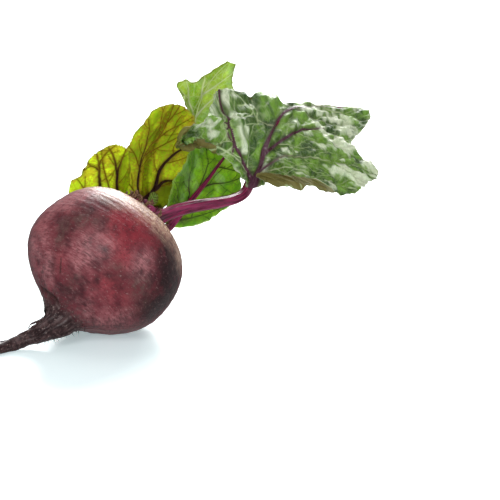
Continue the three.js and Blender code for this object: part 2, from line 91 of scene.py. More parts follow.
def low_sun(name, height, turn, strength, width):
    """A soft sun at a height over the floor, turned from +Y towards +X; all three angles in degrees."""
    data = bpy.data.lights.new(name, "SUN")
    data.energy = strength
    data.angle = np.radians(width)
    sun = bpy.data.objects.new(name, data)
    sun.rotation_euler = (np.radians(height - 90), 0, np.radians(-turn))
    bpy.context.scene.collection.objects.link(sun)
    return sun


lamps = [
    soft_lamp("window lamp", (-200, -740, 500), (0, 0, 35), 360, 4.2),
    soft_lamp("side lamp", (790, -390, 235), (0, 0, 35), 200, 1.2),
    soft_lamp("top lamp", (-100, 250, 900), (20, 40, 40), 700, 2.4),
    low_sun("leaf sun", height=32, turn=10, strength=5.6, width=40),
]
print("lamps:", [lamp.name for lamp in lamps])

# %% [markdown]
# ## Building blocks
# Root, stalks, blades, hairs and scales are all skins round something long. So one helper makes every mesh:
# it takes rings of points, joins each to the next and closes both ends, so that no piece has a hole. The
# others give soft noise and smooth curves. Modelling tools could do the same by hand, but a formula can be
# read, changed and run again.
# %% Mesh from rings of points
FLAT_SPOT = np.array([3, 4.7, 0])  # the root is laid out round its middle and rests a little beside it


def signed_volume(points, faces):
    """Six times the volume that triangles close: the sum of a . (b x c) over their corners."""
    a, b, c = (points[faces[:, k]] for k in range(3))
    return np.einsum("ij,ij->", a, np.cross(b, c))


def close_rings(name, shells, attributes=()):
    """Closed skins through rings of points, an array of shells x rings x places x 3. Quads join each ring to
    the next, and a fan on the ring's mean closes either end. The faces are turned round if the volume is
    negative. An attribute holds a number or a vector for each point."""
    many, count, around = shells.shape[:3]
    points = np.concatenate([shells.reshape(-1, 3), shells[:, [0, -1]].mean(2).reshape(-1, 3)])
    index = np.arange(many * count * around).reshape(many, count, around)
    following = np.roll(index, -1, axis=2)
    quads = np.stack([index[:, :-1], following[:, :-1], following[:, 1:], index[:, 1:]], -1).reshape(-1, 4)
    pole = (index.size + np.arange(2 * many)).reshape(many, 2, 1) + np.zeros((1, 1, around), int)
    starts = np.stack([pole[:, 0], following[:, 0], index[:, 0]], -1).reshape(-1, 3)
    ends = np.stack([pole[:, 1], index[:, -1], following[:, -1]], -1).reshape(-1, 3)
    triangles = np.concatenate([quads[:, :3], quads[:, [0, 2, 3]], starts, ends])
    if signed_volume(points, triangles) < 0:
        quads, starts, ends = quads[:, ::-1], starts[:, ::-1], ends[:, ::-1]
    mesh = bpy.data.meshes.new(name)
    corners = np.concatenate([quads.ravel(), starts.ravel(), ends.ravel()])
    sizes = np.repeat([4, 3], [len(quads), len(starts) + len(ends)])
    mesh.vertices.add(len(points))
    mesh.vertices.foreach_set("co", ((points - FLAT_SPOT) * MM).ravel())
    mesh.loops.add(len(corners))
    mesh.loops.foreach_set("vertex_index", corners)
    mesh.polygons.add(len(sizes))
    mesh.polygons.foreach_set("loop_start", np.cumsum(sizes) - sizes)
    mesh.polygons.foreach_set("use_smooth", np.ones(len(sizes), bool))
    mesh.update(calc_edges=True)
    for label, values in dict(attributes).items():
        values = np.asarray(values, float).reshape(many, count, around, -1)
        all_values = np.concatenate([values.ravel(), values[:, [0, -1]].mean(2).ravel()])
        kind, field = ("FLOAT_VECTOR", "vector") if values.shape[3] == 3 else ("FLOAT", "value")
        mesh.attributes.new(label, kind, "POINT").data.foreach_set(field, all_values)
    piece = bpy.data.objects.new(name, mesh)
    bpy.context.scene.collection.objects.link(piece)
    return piece


# %% Soft noise and smooth curves
def waves(points, size, seed, count=30):
    """Soft noise of mean 0 and spread 1: a sum of cosine waves about one size long, each with a direction
    and a start of its own."""
    chance = np.random.default_rng(seed)
    points = np.asarray(points, float)
    direction = chance.normal(size=(count, points.shape[-1]))
    direction /= np.linalg.norm(direction, axis=1, keepdims=True)
    stride = direction * 2 * np.pi / (size * chance.uniform(0.7, 1.5, (count, 1)))
    start = chance.uniform(0, 2 * np.pi, count)
    return np.sqrt(2 / count) * np.cos(points @ stride.T + start).sum(-1)


def smooth_through(places, values, wanted):
    """A curve through values at places: between two of them runs the cubic that has at either the slope of
    the line joining its neighbours."""
    places, values = np.asarray(places, float), np.asarray(values, float)
    slopes = np.gradient(values, places, axis=0)
    k = np.clip(np.searchsorted(places, wanted, side="right") - 1, 0, len(places) - 2)
    step = (places[k + 1] - places[k])[:, None]
    x = (wanted - places[k])[:, None] / step
    ease = x * x * (3 - 2 * x)
    bow = x * (1 - x)
    line = values[k] * (1 - ease) + values[k + 1] * ease
    return line + step * bow * (slopes[k] * (1 - x) - slopes[k + 1] * x)


def unit(vectors):
    """Vectors of length 1 along the given ones."""
    return vectors / np.linalg.norm(vectors, axis=-1, keepdims=True)


def square_to(along, wish):
    """The direction nearest to a wish that is square to along."""
    along, wish = np.broadcast_arrays(along, np.asarray(wish, float))
    return unit(wish - along * np.einsum("...k,...k->...", along, wish)[..., None])


def between(low, high, x):
    """Eases from 0 at low to 1 at high: 3x^2 - 2x^3 of the share covered."""
    x = np.clip((x - low) / (high - low), 0, 1)
    return x * x * (3 - 2 * x)


# %% [markdown]
# ## The root
# The swollen root is a flattened globe that draws in to a tail. It could be sculpted from a ball, but the
# faces of a ball don't follow the bend of the neck. Here it is a grid: one parameter runs from the crown to
# the tip of the tail and the other goes round. Each ring has a middle, a radius and two directions, and
# smooth curves through a few known rings give all the others.
# %% Known rings of the root
TAIL_DIRECTION = unit(np.array([-0.55, -0.57, -0.61]))
ACROSS = unit(np.cross([0, 0, 1], TAIL_DIRECTION))
RISE = unit(np.cross(TAIL_DIRECTION, ACROSS))
GLOBE_MIDDLE = np.array([0, 0, 33])
CROWN_TOP = -31.8
# Distance along the axis from the globe's middle, and the radius there.
ROOT_PROFILE = np.array([
    (-31.75, 0.6), (-31.3, 5.6), (-30.5, 9), (-29, 11.2), (-27.6, 14.6), (-26.2, 19.2), (-23.6, 24.8),
    (-18.8, 30), (-12, 33.9), (-3.5, 36), (5, 35.4), (13, 32.4), (19.5, 27.4), (24.5, 21.2), (28, 15.4),
    (31.5, 10.8), (35, 7.8),
])
# Middles of the tail's rings, with the radius at each.
TAIL = np.array([
    (-25.2, -22.2, 8.4, 4.8), (-30.8, -22.6, 5.4, 3.7), (-36, -24, 3.6, 3), (-40.2, -26.6, 2.6, 2.5),
    (-45, -31, 2.2, 2.15), (-56, -38.5, 1.95, 1.95), (-69, -44, 1.7, 1.7), (-83, -47.5, 1.35, 1.35),
    (-96, -54, 1.05, 1.05), (-107, -63, 0.8, 0.6), (-110.6, -66.6, 0.6, 0.25),
])
globe_middles = GLOBE_MIDDLE + ROOT_PROFILE[:, :1] * TAIL_DIRECTION
known = np.concatenate([np.column_stack([globe_middles, ROOT_PROFILE[:, 1]]), TAIL])
depths = np.concatenate([ROOT_PROFILE[:, 0], 38 + 12 * np.arange(len(TAIL))])
known_at = np.concatenate([[0], np.cumsum(np.linalg.norm(np.diff(known, axis=0), axis=1))])
print("known rings:", len(known), "over", round(known_at[-1]), "mm of skin")

# %% The root's grid
ROOT_ROUND = 320
GLOBE_RINGS, TAIL_RINGS = 215, 75
neck_at = known_at[len(ROOT_PROFILE) - 1]
along_skin = np.concatenate([
    np.linspace(0, neck_at, GLOBE_RINGS, endpoint=False),
    np.linspace(neck_at, known_at[-1], TAIL_RINGS),
])
ring_values = smooth_through(known_at, np.column_stack([known, depths]), along_skin)
middles, radii, depth = ring_values[:, :3], ring_values[:, 3], ring_values[:, 4]
heading = unit(np.gradient(smooth_through(known_at, known[:, :3], along_skin), axis=0))
heading[:GLOBE_RINGS] = TAIL_DIRECTION
first_way = square_to(heading, ACROSS)
second_way = np.cross(heading, first_way)
angle = np.linspace(0, 2 * np.pi, ROOT_ROUND, endpoint=False)
lift_of_ring = first_way[:, None] * np.cos(angle)[:, None] + second_way[:, None] * np.sin(angle)[:, None]
print("root grid:", lift_of_ring.shape[:2])

# %% The globe's uneven form
def unevenness(turn, s):
    """The radius as a share of its mean: three low waves round the root, less two opposite furrows that
    follow cos^8 round it and exp(-((s - 30) / 7)^2) down it, so they are deepest at the neck."""
    swelling = (0.016 * np.sin(2 * turn + 0.7) + 0.011 * np.sin(3 * turn + 0.09 * s)
                + 0.007 * np.sin(5 * turn + 2))
    furrows = 0.13 * np.exp(-((s - 30) / 7) ** 2) * np.cos(turn - 0.5) ** 8
    return 1 + swelling - furrows


turn, s = np.meshgrid(angle, depth)
along = np.cumsum(np.linalg.norm(np.diff(middles, axis=0, prepend=middles[:1]), axis=1)) + CROWN_TOP
radius = radii[:, None] * unevenness(turn, s)
skin = middles[:, None] + radius[..., None] * lift_of_ring
# The root as if its axis were straight: patterns that run round it or down it follow these places.
straight = np.stack([
    radius * np.cos(turn), radius * np.sin(turn), np.broadcast_to(along[:, None], s.shape),
], -1)
print("root reaches", skin.min((0, 1)).round(1), "to", skin.max((0, 1)).round(1))


# %% [markdown]
# ### The skin's relief
# The skin has fine rings of growth, wrinkles at the neck, a corky crown with the scars of old leaves, and a
# few cuts. A bump in the finish would vanish at the outline, so the larger ones are moved points: a sum of
# noises, each let through only on its own stretch of the root.
# %% Wrinkles, corky crown and scars
def outwards_of(rings):
    """Unit normals of rings of points: the direction round each ring x the direction down the skin, turned
    away from the rings' middles."""
    round_it = np.roll(rings, -1, 1) - np.roll(rings, 1, 1)
    down_it = np.gradient(rings, axis=0)
    normal = unit(np.cross(round_it, down_it) + 1e-12)
    middle = rings.mean(1, keepdims=True)
    inwards = np.einsum("ijk,ijk->i", normal, rings - middle) < 0
    normal[inwards] *= -1
    return normal


def groove(turn, s, radius, ends, width):
    """1 along a line on the skin and 0 away from it: exp of minus the square of the distance, in widths.
    The line's ends are places as (degrees round, mm down the axis)."""
    a, b = np.array([np.radians([ends[0], ends[2]]), [ends[1], ends[3]]]).T
    away = np.stack([((turn - a[0] + np.pi) % (2 * np.pi) - np.pi) * radius, s - a[1]], -1)
    line = np.array([(b[0] - a[0]) * radius.mean(), b[1] - a[1]])
    share = np.clip(away @ line / (line @ line), 0, 1)
    return np.exp(-(np.linalg.norm(away - share[..., None] * line, axis=-1) / width) ** 2)


on_tail = between(30, 44, along)[:, None]
on_neck = between(17, 30, along)[:, None] * (1 - between(44, 60, along)[:, None])
on_crown = 1 - between(-29, -25.5, along)[:, None]
on_shoulder = 1 - between(-25, -8, along)[:, None]
round_and_down = np.stack([np.cos(turn), np.sin(turn), s / 30], -1)
growth_rings = waves(straight * (0.045, 0.045, 1), 1.5, 1) * (1 - on_tail)
relief = 0.045 * growth_rings * (1 + 1.2 * on_shoulder)
relief += 0.2 * waves(straight, 24, 2) * (1 - on_tail) + 0.03 * waves(straight, 1.6, 3) * (1 - on_tail)
relief += 0.16 * on_neck * waves(round_and_down * (3.2, 3.2, 1.5), 1, 4)
relief += radii[:, None] * on_tail * (0.07 * waves(round_and_down, 1, 5) + 0.05 * waves(straight, 5, 6))
relief += 0.22 * on_neck * waves(straight * (0.12, 0.12, 1), 2.2, 7) * on_tail
leaf_scars = np.cos(2 * np.pi * (radius / 2.3 + 0.35 * waves(straight, 7, 8)))
relief += on_crown * (0.3 * leaf_scars + 0.25 * waves(straight, 2.4, 9))
SCARS = [
    ((120, 28.5, 90, 31), 0.9, 0.9), ((158, 28.5, 177, 20.5), 0.7, 0.9), ((74, 19, 71, 23), 0.4, 0.15),
    ((300, 12, 320, 13), 0.6, 0.3), ((205, -6, 230, -4), 0.7, 0.35),
]
scarred = np.zeros_like(s)
for ends, width, deep in SCARS:
    mark = groove(turn, s, radius, ends, width)
    relief -= deep * mark
    scarred = np.maximum(scarred, mark)
fine_skin = skin + relief[..., None] * outwards_of(skin)
fine_skin[..., 2] = np.maximum(fine_skin[..., 2], 0)  # the flat spot it rests on
print("relief of the skin: from", relief.min().round(2), "to", relief.max().round(2), "mm")

# %% [markdown]
# ### The skin's colours
# A beetroot's skin is blotched: greyish where a dry film lies on it, red where that is rubbed off, brownish
# where it is stained. Two of the film's patches are painted highlights, and a deep maroon flank is
# painted shade. One noise for all of it would look like marble. Here each kind has its own few patches
# at chosen places, kept as numbers on the points, and the finish mixes its colours by them.
# %% Patches of colour on the skin
def patches(places):
    """Soft round patches on the skin: the sum of strength * exp(-(distance / size)^2) over all of them. A
    patch is (degrees round, mm down the axis, size, strength)."""
    total = 0
    for degrees, down, size, strength in places:
        round_by = (turn - np.radians(degrees) + np.pi) % (2 * np.pi) - np.pi
        total = total + strength * np.exp(-((round_by * radius) ** 2 + (s - down) ** 2) / size**2)
    return total


uneven = 0.5 * waves(straight, 5, 21) + 0.5 * waves(straight, 11, 22)
# Greyish bloom: a dry film over the skin. Its patches at 52 and 18 degrees round are painted highlights of
# the lamps.
bloom_and_highlight = patches([
    (52, 9, 9, 1), (62, 15, 6, 0.7), (18, 1.5, 5.5, 1.4), (104, -5, 10, 1), (93, -12, 9, 1), (106, 15, 9, 1),
    (92, 24, 5, 0.5), (339, 20, 8, 0.4), (358, 26, 9, 0.5), (30, 25, 5, 0.3), (300, 17, 12, 0.5),
    (180, 0, 13, 0.7), (230, -9, 12, 0.5), (205, 18, 10, 0.6), (265, 4, 9, 0.4),
])
# Skin rubbed clean, where it is reddest.
rubbed = patches([
    (44, -10, 10, 1), (42, 0, 7, 0.9), (30, 5, 5, 0.8), (30, 17, 5, 0.8), (8, 18, 6, 0.7), (73, 20, 4, 0.7),
    (80, -2, 5, 0.4), (16, -9, 5, 0.7), (350, 5, 6, 0.5), (112, 8, 6, 0.5), (150, -8, 11, 0.7),
    (255, -6, 13, 0.6), (205, 7, 8, 0.6), (300, 2, 9, 0.6),
])
# Dull greenish brown stains.
stains = patches([
    (81, 13, 3, 0.9), (84, 7, 4, 0.8), (72, 1, 5, 0.9), (62, -1, 4, 0.4), (30, 11, 3.5, 0.8),
    (55, 23, 3.5, 0.7), (8, 9, 5, 0.7), (355, 13, 5, 0.6), (88, -10, 4, 0.4), (195, 5, 5, 0.6),
    (245, 11, 6, 0.6), (160, 12, 5, 0.5),
])
# Painted shade: the deepest maroon, on the flank that faces away from the tail's side, as if that side lay in
# shade.
painted_shade_flank = patches([
    (358, -10, 9, 1.2), (340, -2, 9, 1.1), (12, -14, 6, 0.5), (328, 8, 8, 0.6), (345, -20, 6, 0.5),
    (343, 8, 7, 0.7),
])
fields = [(field * (1 + 0.45 * uneven)).clip(0, 1) for field in (bloom_and_highlight, rubbed, stains, painted_shade_flank)]
bloom_and_highlight, rubbed, stains, painted_shade_flank = fields
print("patches cover", [round(float(field.mean()), 2) for field in fields], "of the skin's grid")

# %% The root as a piece
root = close_rings("beet_root", fine_skin[None], {
    "straight": straight, "scar": scarred, "bloom_and_highlight": bloom_and_highlight, "rubbed": rubbed, "stain": stains,
    # dark: the painted shade on one flank
    "dark": painted_shade_flank,
})
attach(root, "root")
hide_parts("root")
print("root:", len(root.data.polygons), "faces")

# %% [markdown]
# ## Side roots, root hairs and the crown's remains
# A few thin side roots leave the neck and the tail, with fine hairs between them. On the crown stand short
# stubs of cut stalks among dry brown scales. Each of these is a ring of points carried along a path, round
# for a hair and flat for a scale; hundreds of them share one mesh and have few faces each.
# %% Strands and strips along paths
def carried(paths, wide, thick, sides, facing=(0.2, 0.3, 1)):
    """Rings of points round paths (many x steps x 3): ellipses that are wide across the path and thick
    towards the side that faces a wished direction."""
    heading = unit(np.gradient(paths, axis=1))
    up = square_to(heading, facing)[:, :, None]
    across = np.cross(heading, up[:, :, 0])[:, :, None]
    turns = np.linspace(0, 2 * np.pi, sides, endpoint=False)[:, None]
    rings = across * np.cos(turns) * np.asarray(wide)[..., None, None]
    rings = rings + up * np.sin(turns) * np.asarray(thick)[..., None, None]
    return paths[:, :, None] + rings


def bent(knots, steps):
    """Cubic Bezier paths (many x steps x 3) from knots (many x 4 x 3)."""
    t = np.linspace(0, 1, steps)
    weights = np.stack([(1 - t) ** 3, 3 * t * (1 - t) ** 2, 3 * t**2 * (1 - t), t**3], -1)
    return np.einsum("tk,mkx->mtx", weights, knots)


# Places of each side root's middle, and the radius at its foot.
SIDE_ROOTS = [
    ([(-22, -19, 12), (-26.5, -20.5, 12.6), (-30, -21, 11), (-33, -20, 8.6)], 0.8),
    ([(-35, -23.5, 3.8), (-40, -20.5, 3), (-45, -17.5, 1.4), (-50, -17, 0.6)], 0.7),
    ([(-55, -38, 1.9), (-59, -43, 1.3), (-64, -46, 0.7), (-70, -52, 0.5)], 0.65),
    ([(-68, -43.6, 1.7), (-74, -41, 1.2), (-80, -40.5, 0.6), (-86, -37, 0.5)], 0.6),
]
at = np.linspace(0, 3, 40)
side_paths = np.stack([smooth_through(np.arange(4), places, at) for places, size in SIDE_ROOTS])
side_paths += 0.25 * np.stack([waves(side_paths, 6, 50 + k) for k in range(3)], -1) * at[:, None] / 3
foot_sizes = np.array([size for places, size in SIDE_ROOTS])[:, None]
side_sizes = foot_sizes * (1 - 0.75 * at / 3) * (1 + 0.12 * waves(side_paths, 1.6, 53))
side_rings = carried(side_paths, side_sizes, side_sizes, 14)
AS_ON_TAIL = np.array([0, 0, 40])  # the skin's finish paints places so far down the axis as it does the tail
side_roots = close_rings("side_roots", side_rings, {"straight": side_rings + AS_ON_TAIL})
print("side roots:", len(SIDE_ROOTS))

# %% Root hairs
NECK_HAIRS, TAIL_HAIRS = 110, 70
chance = np.random.default_rng(41)
neck_rings = np.flatnonzero((depth > 30) & (depth < 42))
tail_rings = np.flatnonzero(depth > 41)[:-4]
rings_used = np.concatenate([chance.choice(neck_rings, NECK_HAIRS), chance.choice(tail_rings, TAIL_HAIRS)])
places_round = chance.integers(0, ROOT_ROUND, len(rings_used))
skin_normals = outwards_of(fine_skin)
hair_feet, outwards = (field[rings_used, places_round][:, None] for field in (fine_skin, skin_normals))
reach = chance.uniform(0.6, 2.2, (len(rings_used), 1, 1))
sway = np.cumsum(chance.normal(0, 0.22, (len(rings_used), 4, 3)), axis=1) * reach
stretch = np.array([-0.1, 0.3, 0.65, 1])[:, None]
hair_knots = hair_feet + outwards * reach * stretch + sway * stretch.clip(0)
hair_knots[..., 2] = hair_knots[..., 2].clip(0.3)
hair_paths = bent(hair_knots, 7)
hair_sizes = 0.13 * np.linspace(1, 0.35, 7) * np.ones((len(rings_used), 1))
hair_rings = carried(hair_paths, hair_sizes, hair_sizes, 4)
root_hairs = close_rings("root_hairs", hair_rings, {"straight": hair_rings + AS_ON_TAIL})
print("root hairs:", len(rings_used))


# %% Stubs and scales on the crown
def crown_places(degrees, distance, height):
    """Places over the crown: an angle and a distance from the root's axis, and a height above its top."""
    turns = np.radians(degrees)
    away = np.cos(turns)[:, None] * ACROSS + np.sin(turns)[:, None] * RISE
    return GLOBE_MIDDLE + (CROWN_TOP - height)[:, None] * TAIL_DIRECTION + distance[:, None] * away


# Stubs: degrees round the crown, distance from the axis, height over the crown, and radius.
STUBS = np.array([(30, 8.2, 0.9, 2.3), (75, 8.4, 0.6, 2), (125, 8, 0.9, 2.2)])
angles, distances, heights, sizes = STUBS.T
rise = np.linspace(-4, 0, 24)
stub_paths = np.stack([crown_places(angles, distances + 0.4 * heights, heights + lift) for lift in rise], 1)
rounded = np.sqrt(1 - np.linspace(0, 1, 24) ** 14 * 0.9)
stub_sizes = sizes[:, None] * rounded
stub_rings = carried(stub_paths, stub_sizes, 0.85 * stub_sizes, 28)
stub_away = unit(stub_rings - stub_paths[:, :, None])
stub_rings += 0.12 * waves(stub_rings * (1, 1, 0.3), 1.1, 61)[..., None] * stub_away
stubs = close_rings("crown_stubs", stub_rings, {"streak": stub_rings})
SCALES = 44
degrees = np.sort(chance.uniform(0, 360, SCALES))
distance = chance.uniform(7.5, 11.5, SCALES)
tall = chance.uniform(1.2, 3.4, SCALES)
bottom = 1.5 * ((distance - 9.5) / 2).clip(0)
little_twist = chance.normal(0, 4, SCALES)
twist = chance.normal(0, 9, SCALES)
splay = chance.uniform(0.2, 2.2, SCALES)
scale_knots = np.stack([
    crown_places(degrees, distance, -1.6 - bottom),
    crown_places(degrees, distance + 0.2, 0.3 * tall - bottom),
    crown_places(degrees + little_twist, distance + 0.5, 0.8 * tall - bottom),
    crown_places(degrees + twist, distance + splay, tall - bottom),
], 1)
scale_paths = bent(scale_knots, 10)
taper = np.sin(np.pi * np.linspace(0.25, 0.99, 10)) ** 0.8
scale_wide = chance.uniform(0.7, 1.6, (SCALES, 1)) * taper
scale_away = unit(scale_paths - crown_places(np.zeros(1), np.zeros(1), np.zeros(1)))
scale_rings = carried(scale_paths, scale_wide, 0.16 * taper + 0 * scale_wide, 8, scale_away)
scale_rings += 0.15 * waves(scale_rings, 1.2, 62)[..., None] * scale_away[:, :, None]
scales = close_rings("crown_scales", scale_rings, {"straight": scale_rings})
for piece, slot in ((side_roots, "skin"), (root_hairs, "skin"), (stubs, "stalk"), (scales, "skin")):
    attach(piece, "root")
print("stubs:", len(STUBS), "scales:", SCALES)

# %% [markdown]
# ## The leaves
# A beet leaf is a stalk that runs on as the midrib, with side veins that fork towards the rim and a net of
# fine veins between them. The blade between the veins swells up, because it grows faster than they do. It
# could be a sheet bent by a solver; here the midrib and the two rims are curves through a few places, and
# the blade is spanned between them, so that each leaf keeps the solid's shape.
# %% Two leaves that sink to the floor
def drooping(base, tip, widths, ruffle):
    """A leaf behind the root, laid out by a formula: its midrib runs straight in plan and sinks as
    (1 - u)^1.5, and either half is 3 mm * (1 - u) + width * sin(pi * u^0.7)^0.7 wide."""
    base, tip = np.array(base, float), np.array(tip, float)
    u = np.linspace(0, 1, 9)[:, None]
    rib = base + (tip - base) * u
    rib[:, 2:] = tip[2] + (base[2] - tip[2]) * (1 - u) ** 1.5
    across = unit(np.cross(tip - base, (0, 0, 1)))
    swelling = np.sin(np.pi * u**0.7).clip(0) ** 0.7
    left, right = (3 * (1 - u) + width * swelling for width in widths)
    return {
        "lean": 0.6, "rise": 12, "arrive": 12, "face": [(0, 0, 1)] * 3,
        "rib": rib, "rims": [rib - left * across, rib + right * across],
        "bows": [(-0.04, -0.04, -0.04)] * 2, "ruffles": [(ruffle, 4, 0.2), (ruffle, 4, 0.4)],
        "stalk": (2.4, 2.2, 0.5),
    }


back_left_leaf = drooping((-9, 75, 30), (-40, 138, 1.5), (16, 12), ruffle=1.8)
back_leaf = drooping((13.5, 78, 31), (15.5, 148, 1.5), (10.5, 10.5), ruffle=1.4)
print("drooping leaves end at", back_left_leaf["rib"][-1], "and", back_leaf["rib"][-1])

# %% The leaves' places
# seat: where the stalk leaves the crown (degrees round, mm from the axis), then how far it leans outwards,
# rises, and arrives along the midrib. face: where the upper side looks at base, middle and tip. rib and rims:
# places along the midrib, the left rim and the right one. bows: of either half, at base, middle and tip.
# ruffles: of either half: height, number of waves and phase. stalk: its radius at the crown, at the blade's
# base and at the tip. grid: steps along the blade, and across either half.
LEAVES = {
    "left": {
        "seat": (170, 8.5), "lean": 0.5, "rise": 6, "arrive": 5,
        "face": [(0, -1, 0), (-0.1, -1, -0.1), (-0.3, -1, 0)],
        "rib": [(7, 34.5, 54), (-4, 37.5, 55.5), (-17, 36.5, 51.5)],
        "rims": [
            [(3, 35, 50.5), (-2, 37, 46), (-8, 38, 47), (-17, 36.5, 50.5)],
            [
                (10.5, 33, 64), (9.5, 32, 78), (3.5, 33, 81), (-4, 32.5, 78), (-8.5, 35, 74),
                (-12.5, 36, 66.5), (-17, 36.5, 63.5), (-19, 37.5, 58), (-17.5, 36.5, 51.5),
            ],
        ],
        "bows": [(-0.02, -0.02, -0.02), (0.02, 0, -0.02)], "ruffles": [(0.4, 3, 0.3), (1, 3, 0.1)],
        "stalk": (2, 1.6, 0.4), "grid": (130, 60),
    },
    "tall": {
        "seat": (110, 5), "lean": 0.1, "rise": 8, "arrive": 5,
        "face": [(0, -1, 0.3), (0, -1, 0.45), (0, -0.9, 0.5)],
        "rib": [(16, 31, 53), (19, 41, 75), (30, 53, 95.5)],
        "rims": [
            [
                (15, 31.5, 52.5), (6.5, 38, 53), (3.5, 43.5, 63.5), (5.5, 50, 73), (10, 52.5, 79),
                (14.5, 56, 85.5), (19, 56, 91), (24.5, 55.5, 94.5), (30, 53.5, 96),
            ],
            [
                (17.5, 30.5, 51), (26, 37.5, 50), (33, 43.5, 53), (35.5, 48, 62), (38, 52, 70.5),
                (40, 54, 79.5), (39, 55, 89), (35.5, 55, 94), (31, 53.5, 95.5),
            ],
        ],
        "bows": [(-0.05, -0.05, -0.05), (0, -0.02, -0.02)], "ruffles": [(0.8, 4, 0.1), (1.2, 4, 0.3)],
        "stalk": (1.8, 1.3, 0.4), "grid": (170, 65),
    },
    "upright": {
        "seat": (235, 3.4), "lean": 0.75, "rise": 12, "arrive": 22,
        "face": [(0.1, -1, 0.3), (0.1, -1, 0.3), (0, -1, 0.5)],
        "rib": [
            (36.5, 71, 69), (37.5, 74, 76), (39, 77.5, 82.5), (40.5, 82, 89), (43.5, 87, 95.5),
            (48, 93, 102), (55.5, 100, 108.5),
        ],
        "rims": [
            [
                (35, 70, 70.5), (35.5, 73, 78.5), (35.5, 76, 87), (34, 79, 94.5), (30, 81, 100.5),
                (34.5, 85, 102.5), (37.5, 87.5, 100), (42.5, 91, 102.5), (48, 95, 105.5),
                (54.5, 99.5, 109),
            ],
            [
                (39, 72, 70), (45.5, 77, 75), (51.5, 83, 81.5), (56, 88, 88), (58, 92, 94.5),
                (57.5, 95.5, 101), (59, 99.5, 107),
            ],
        ],
        "bows": [(0.02, 0.02, 0.02), (-0.03, -0.03, -0.03)], "ruffles": [(0.6, 3, 0.1), (0.8, 3, 0.4)],
        "stalk": (2.2, 1.6, 0.4), "grid": (170, 50),
    },
    "turned": {
        "seat": (278, 8.5), "lean": 0.5, "rise": 6, "arrive": 6,
        "face": [(0.3, 0.9, 0.2)] * 3,
        "rib": [(27.5, 34.5, 42), (57, 71, 71)],
        "rims": [
            [
                (28.5, 36, 40), (38.5, 42, 39.5), (48.5, 51.5, 41.5), (57, 61, 46), (61.5, 67, 51),
                (62.5, 69, 58), (61, 68, 66), (58, 71, 70.5),
            ],
            [
                (26.5, 35, 43), (27.5, 32, 53), (31, 33.5, 62.5), (34.5, 37, 69), (37.5, 43, 74),
                (43.5, 62, 75), (49.5, 67, 74), (55.5, 70.5, 71.5),
            ],
        ],
        "bows": [(0.02, 0.02, 0.02), (0.02, 0.04, 0.02)], "ruffles": [(1, 3, 0.1), (1, 3, 0.3)],
        "stalk": (2.2, 1.9, 0.5), "grid": (150, 55),
    },
    "large": {
        "seat": (350, 8), "lean": 0.3, "rise": 20, "arrive": 12,
        "face": [(0, -1, 0.35), (0.05, -0.6, 0.8), (0.1, -0.1, 1)],
        "rib": [
            (66.5, 60, 53.5), (70, 62.5, 63), (74, 67, 74.5), (78.5, 74, 82.5), (85, 85, 87.5),
            (98, 100, 86), (112, 112, 84), (125, 122, 80.5),
        ],
        "rims": [
            [
                (64.5, 59, 54), (60, 55, 62), (52.5, 49.5, 72), (41.5, 44, 79), (31.5, 40, 77),
                (34, 42, 82), (43, 50, 87), (47.5, 61, 95.5), (51, 70, 100), (65, 83, 93.5),
                (90.5, 104, 86), (124, 121.5, 80.5),
            ],
            [
                (69.5, 61, 53.5), (75.5, 59, 57), (89.5, 57, 55.5), (104, 58, 53), (115, 64, 49),
                (122.5, 68, 52), (130, 76, 58.5), (116.5, 84, 64.5), (117.5, 94, 70.5), (126, 108, 77),
                (126, 122, 80.5),
            ],
        ],
        "bows": [(0.06, 0.03, -0.02), (-0.04, -0.02, 0)], "ruffles": [(0.8, 4, 0.1), (1.5, 4, 0.4)],
        "stalk": (3.2, 2.6, 0.5), "grid": (220, 110),
    },
    "back_left": {"seat": (205, 8.5), **back_left_leaf, "grid": (170, 60)},
    "back": {"seat": (240, 8.5), **back_leaf, "grid": (170, 50)},
    "heart": {
        "seat": (330, 2.5), "lean": 0.1, "rise": 2, "arrive": 2,
        "face": [(0.5, -0.8, 0.3)] * 3,
        "rib": [
            (19.5, 20, 54.5), (20.2, 21.2, 55.8), (21, 22.4, 57), (22, 23.6, 58), (23, 24.8, 58.8),
        ],
        "rims": [
            [
                (19, 20.2, 54.9), (18.9, 21.4, 57.4), (19.8, 22.6, 59.4), (21.3, 23.8, 60.2),
                (22.7, 24.8, 59.3),
            ],
            [
                (20, 19.9, 54.4), (22.1, 20.8, 55), (23.3, 22, 56.3), (23.7, 23.3, 57.6), (23.4, 24.7, 58.6),
            ],
        ],
        "bows": [(0.08, 0.08, 0.08), (0.08, 0.08, 0.08)], "ruffles": [(0.3, 3, 0.1), (0.3, 3, 0.3)],
        "stalk": (0.9, 0.7, 0.35), "grid": (50, 14),
    },
}
print("leaves:", ", ".join(LEAVES))

# %% [markdown]
# ### Veins and rolled rims
# Each leaf has its own few strong side veins, given as places on the blade: u runs along the midrib, and v
# from it to the right rim at 1 or the left one at -1. Smaller ones fork off from them by a rule. An even
# feather of veins would be easier, and the two leaves behind and the young one have just that.
# %% The veins' places
# The midrib's way over the upper side, where it strays from the middle: places (u, v).
KEELS = {"tall": [(0, -0.2), (0.2, -0.3), (0.45, -0.2), (0.7, 0.1), (1, 0.1)]}
# Half width of the midrib at the leaf's base, on the upper side.
KEEL_SIZES = {"left": 0.35, "tall": 1.0, "upright": 0.6, "turned": 1.0, "large": 2.2, "back_left": 1.3,
              "back": 1.3, "heart": 0.3}
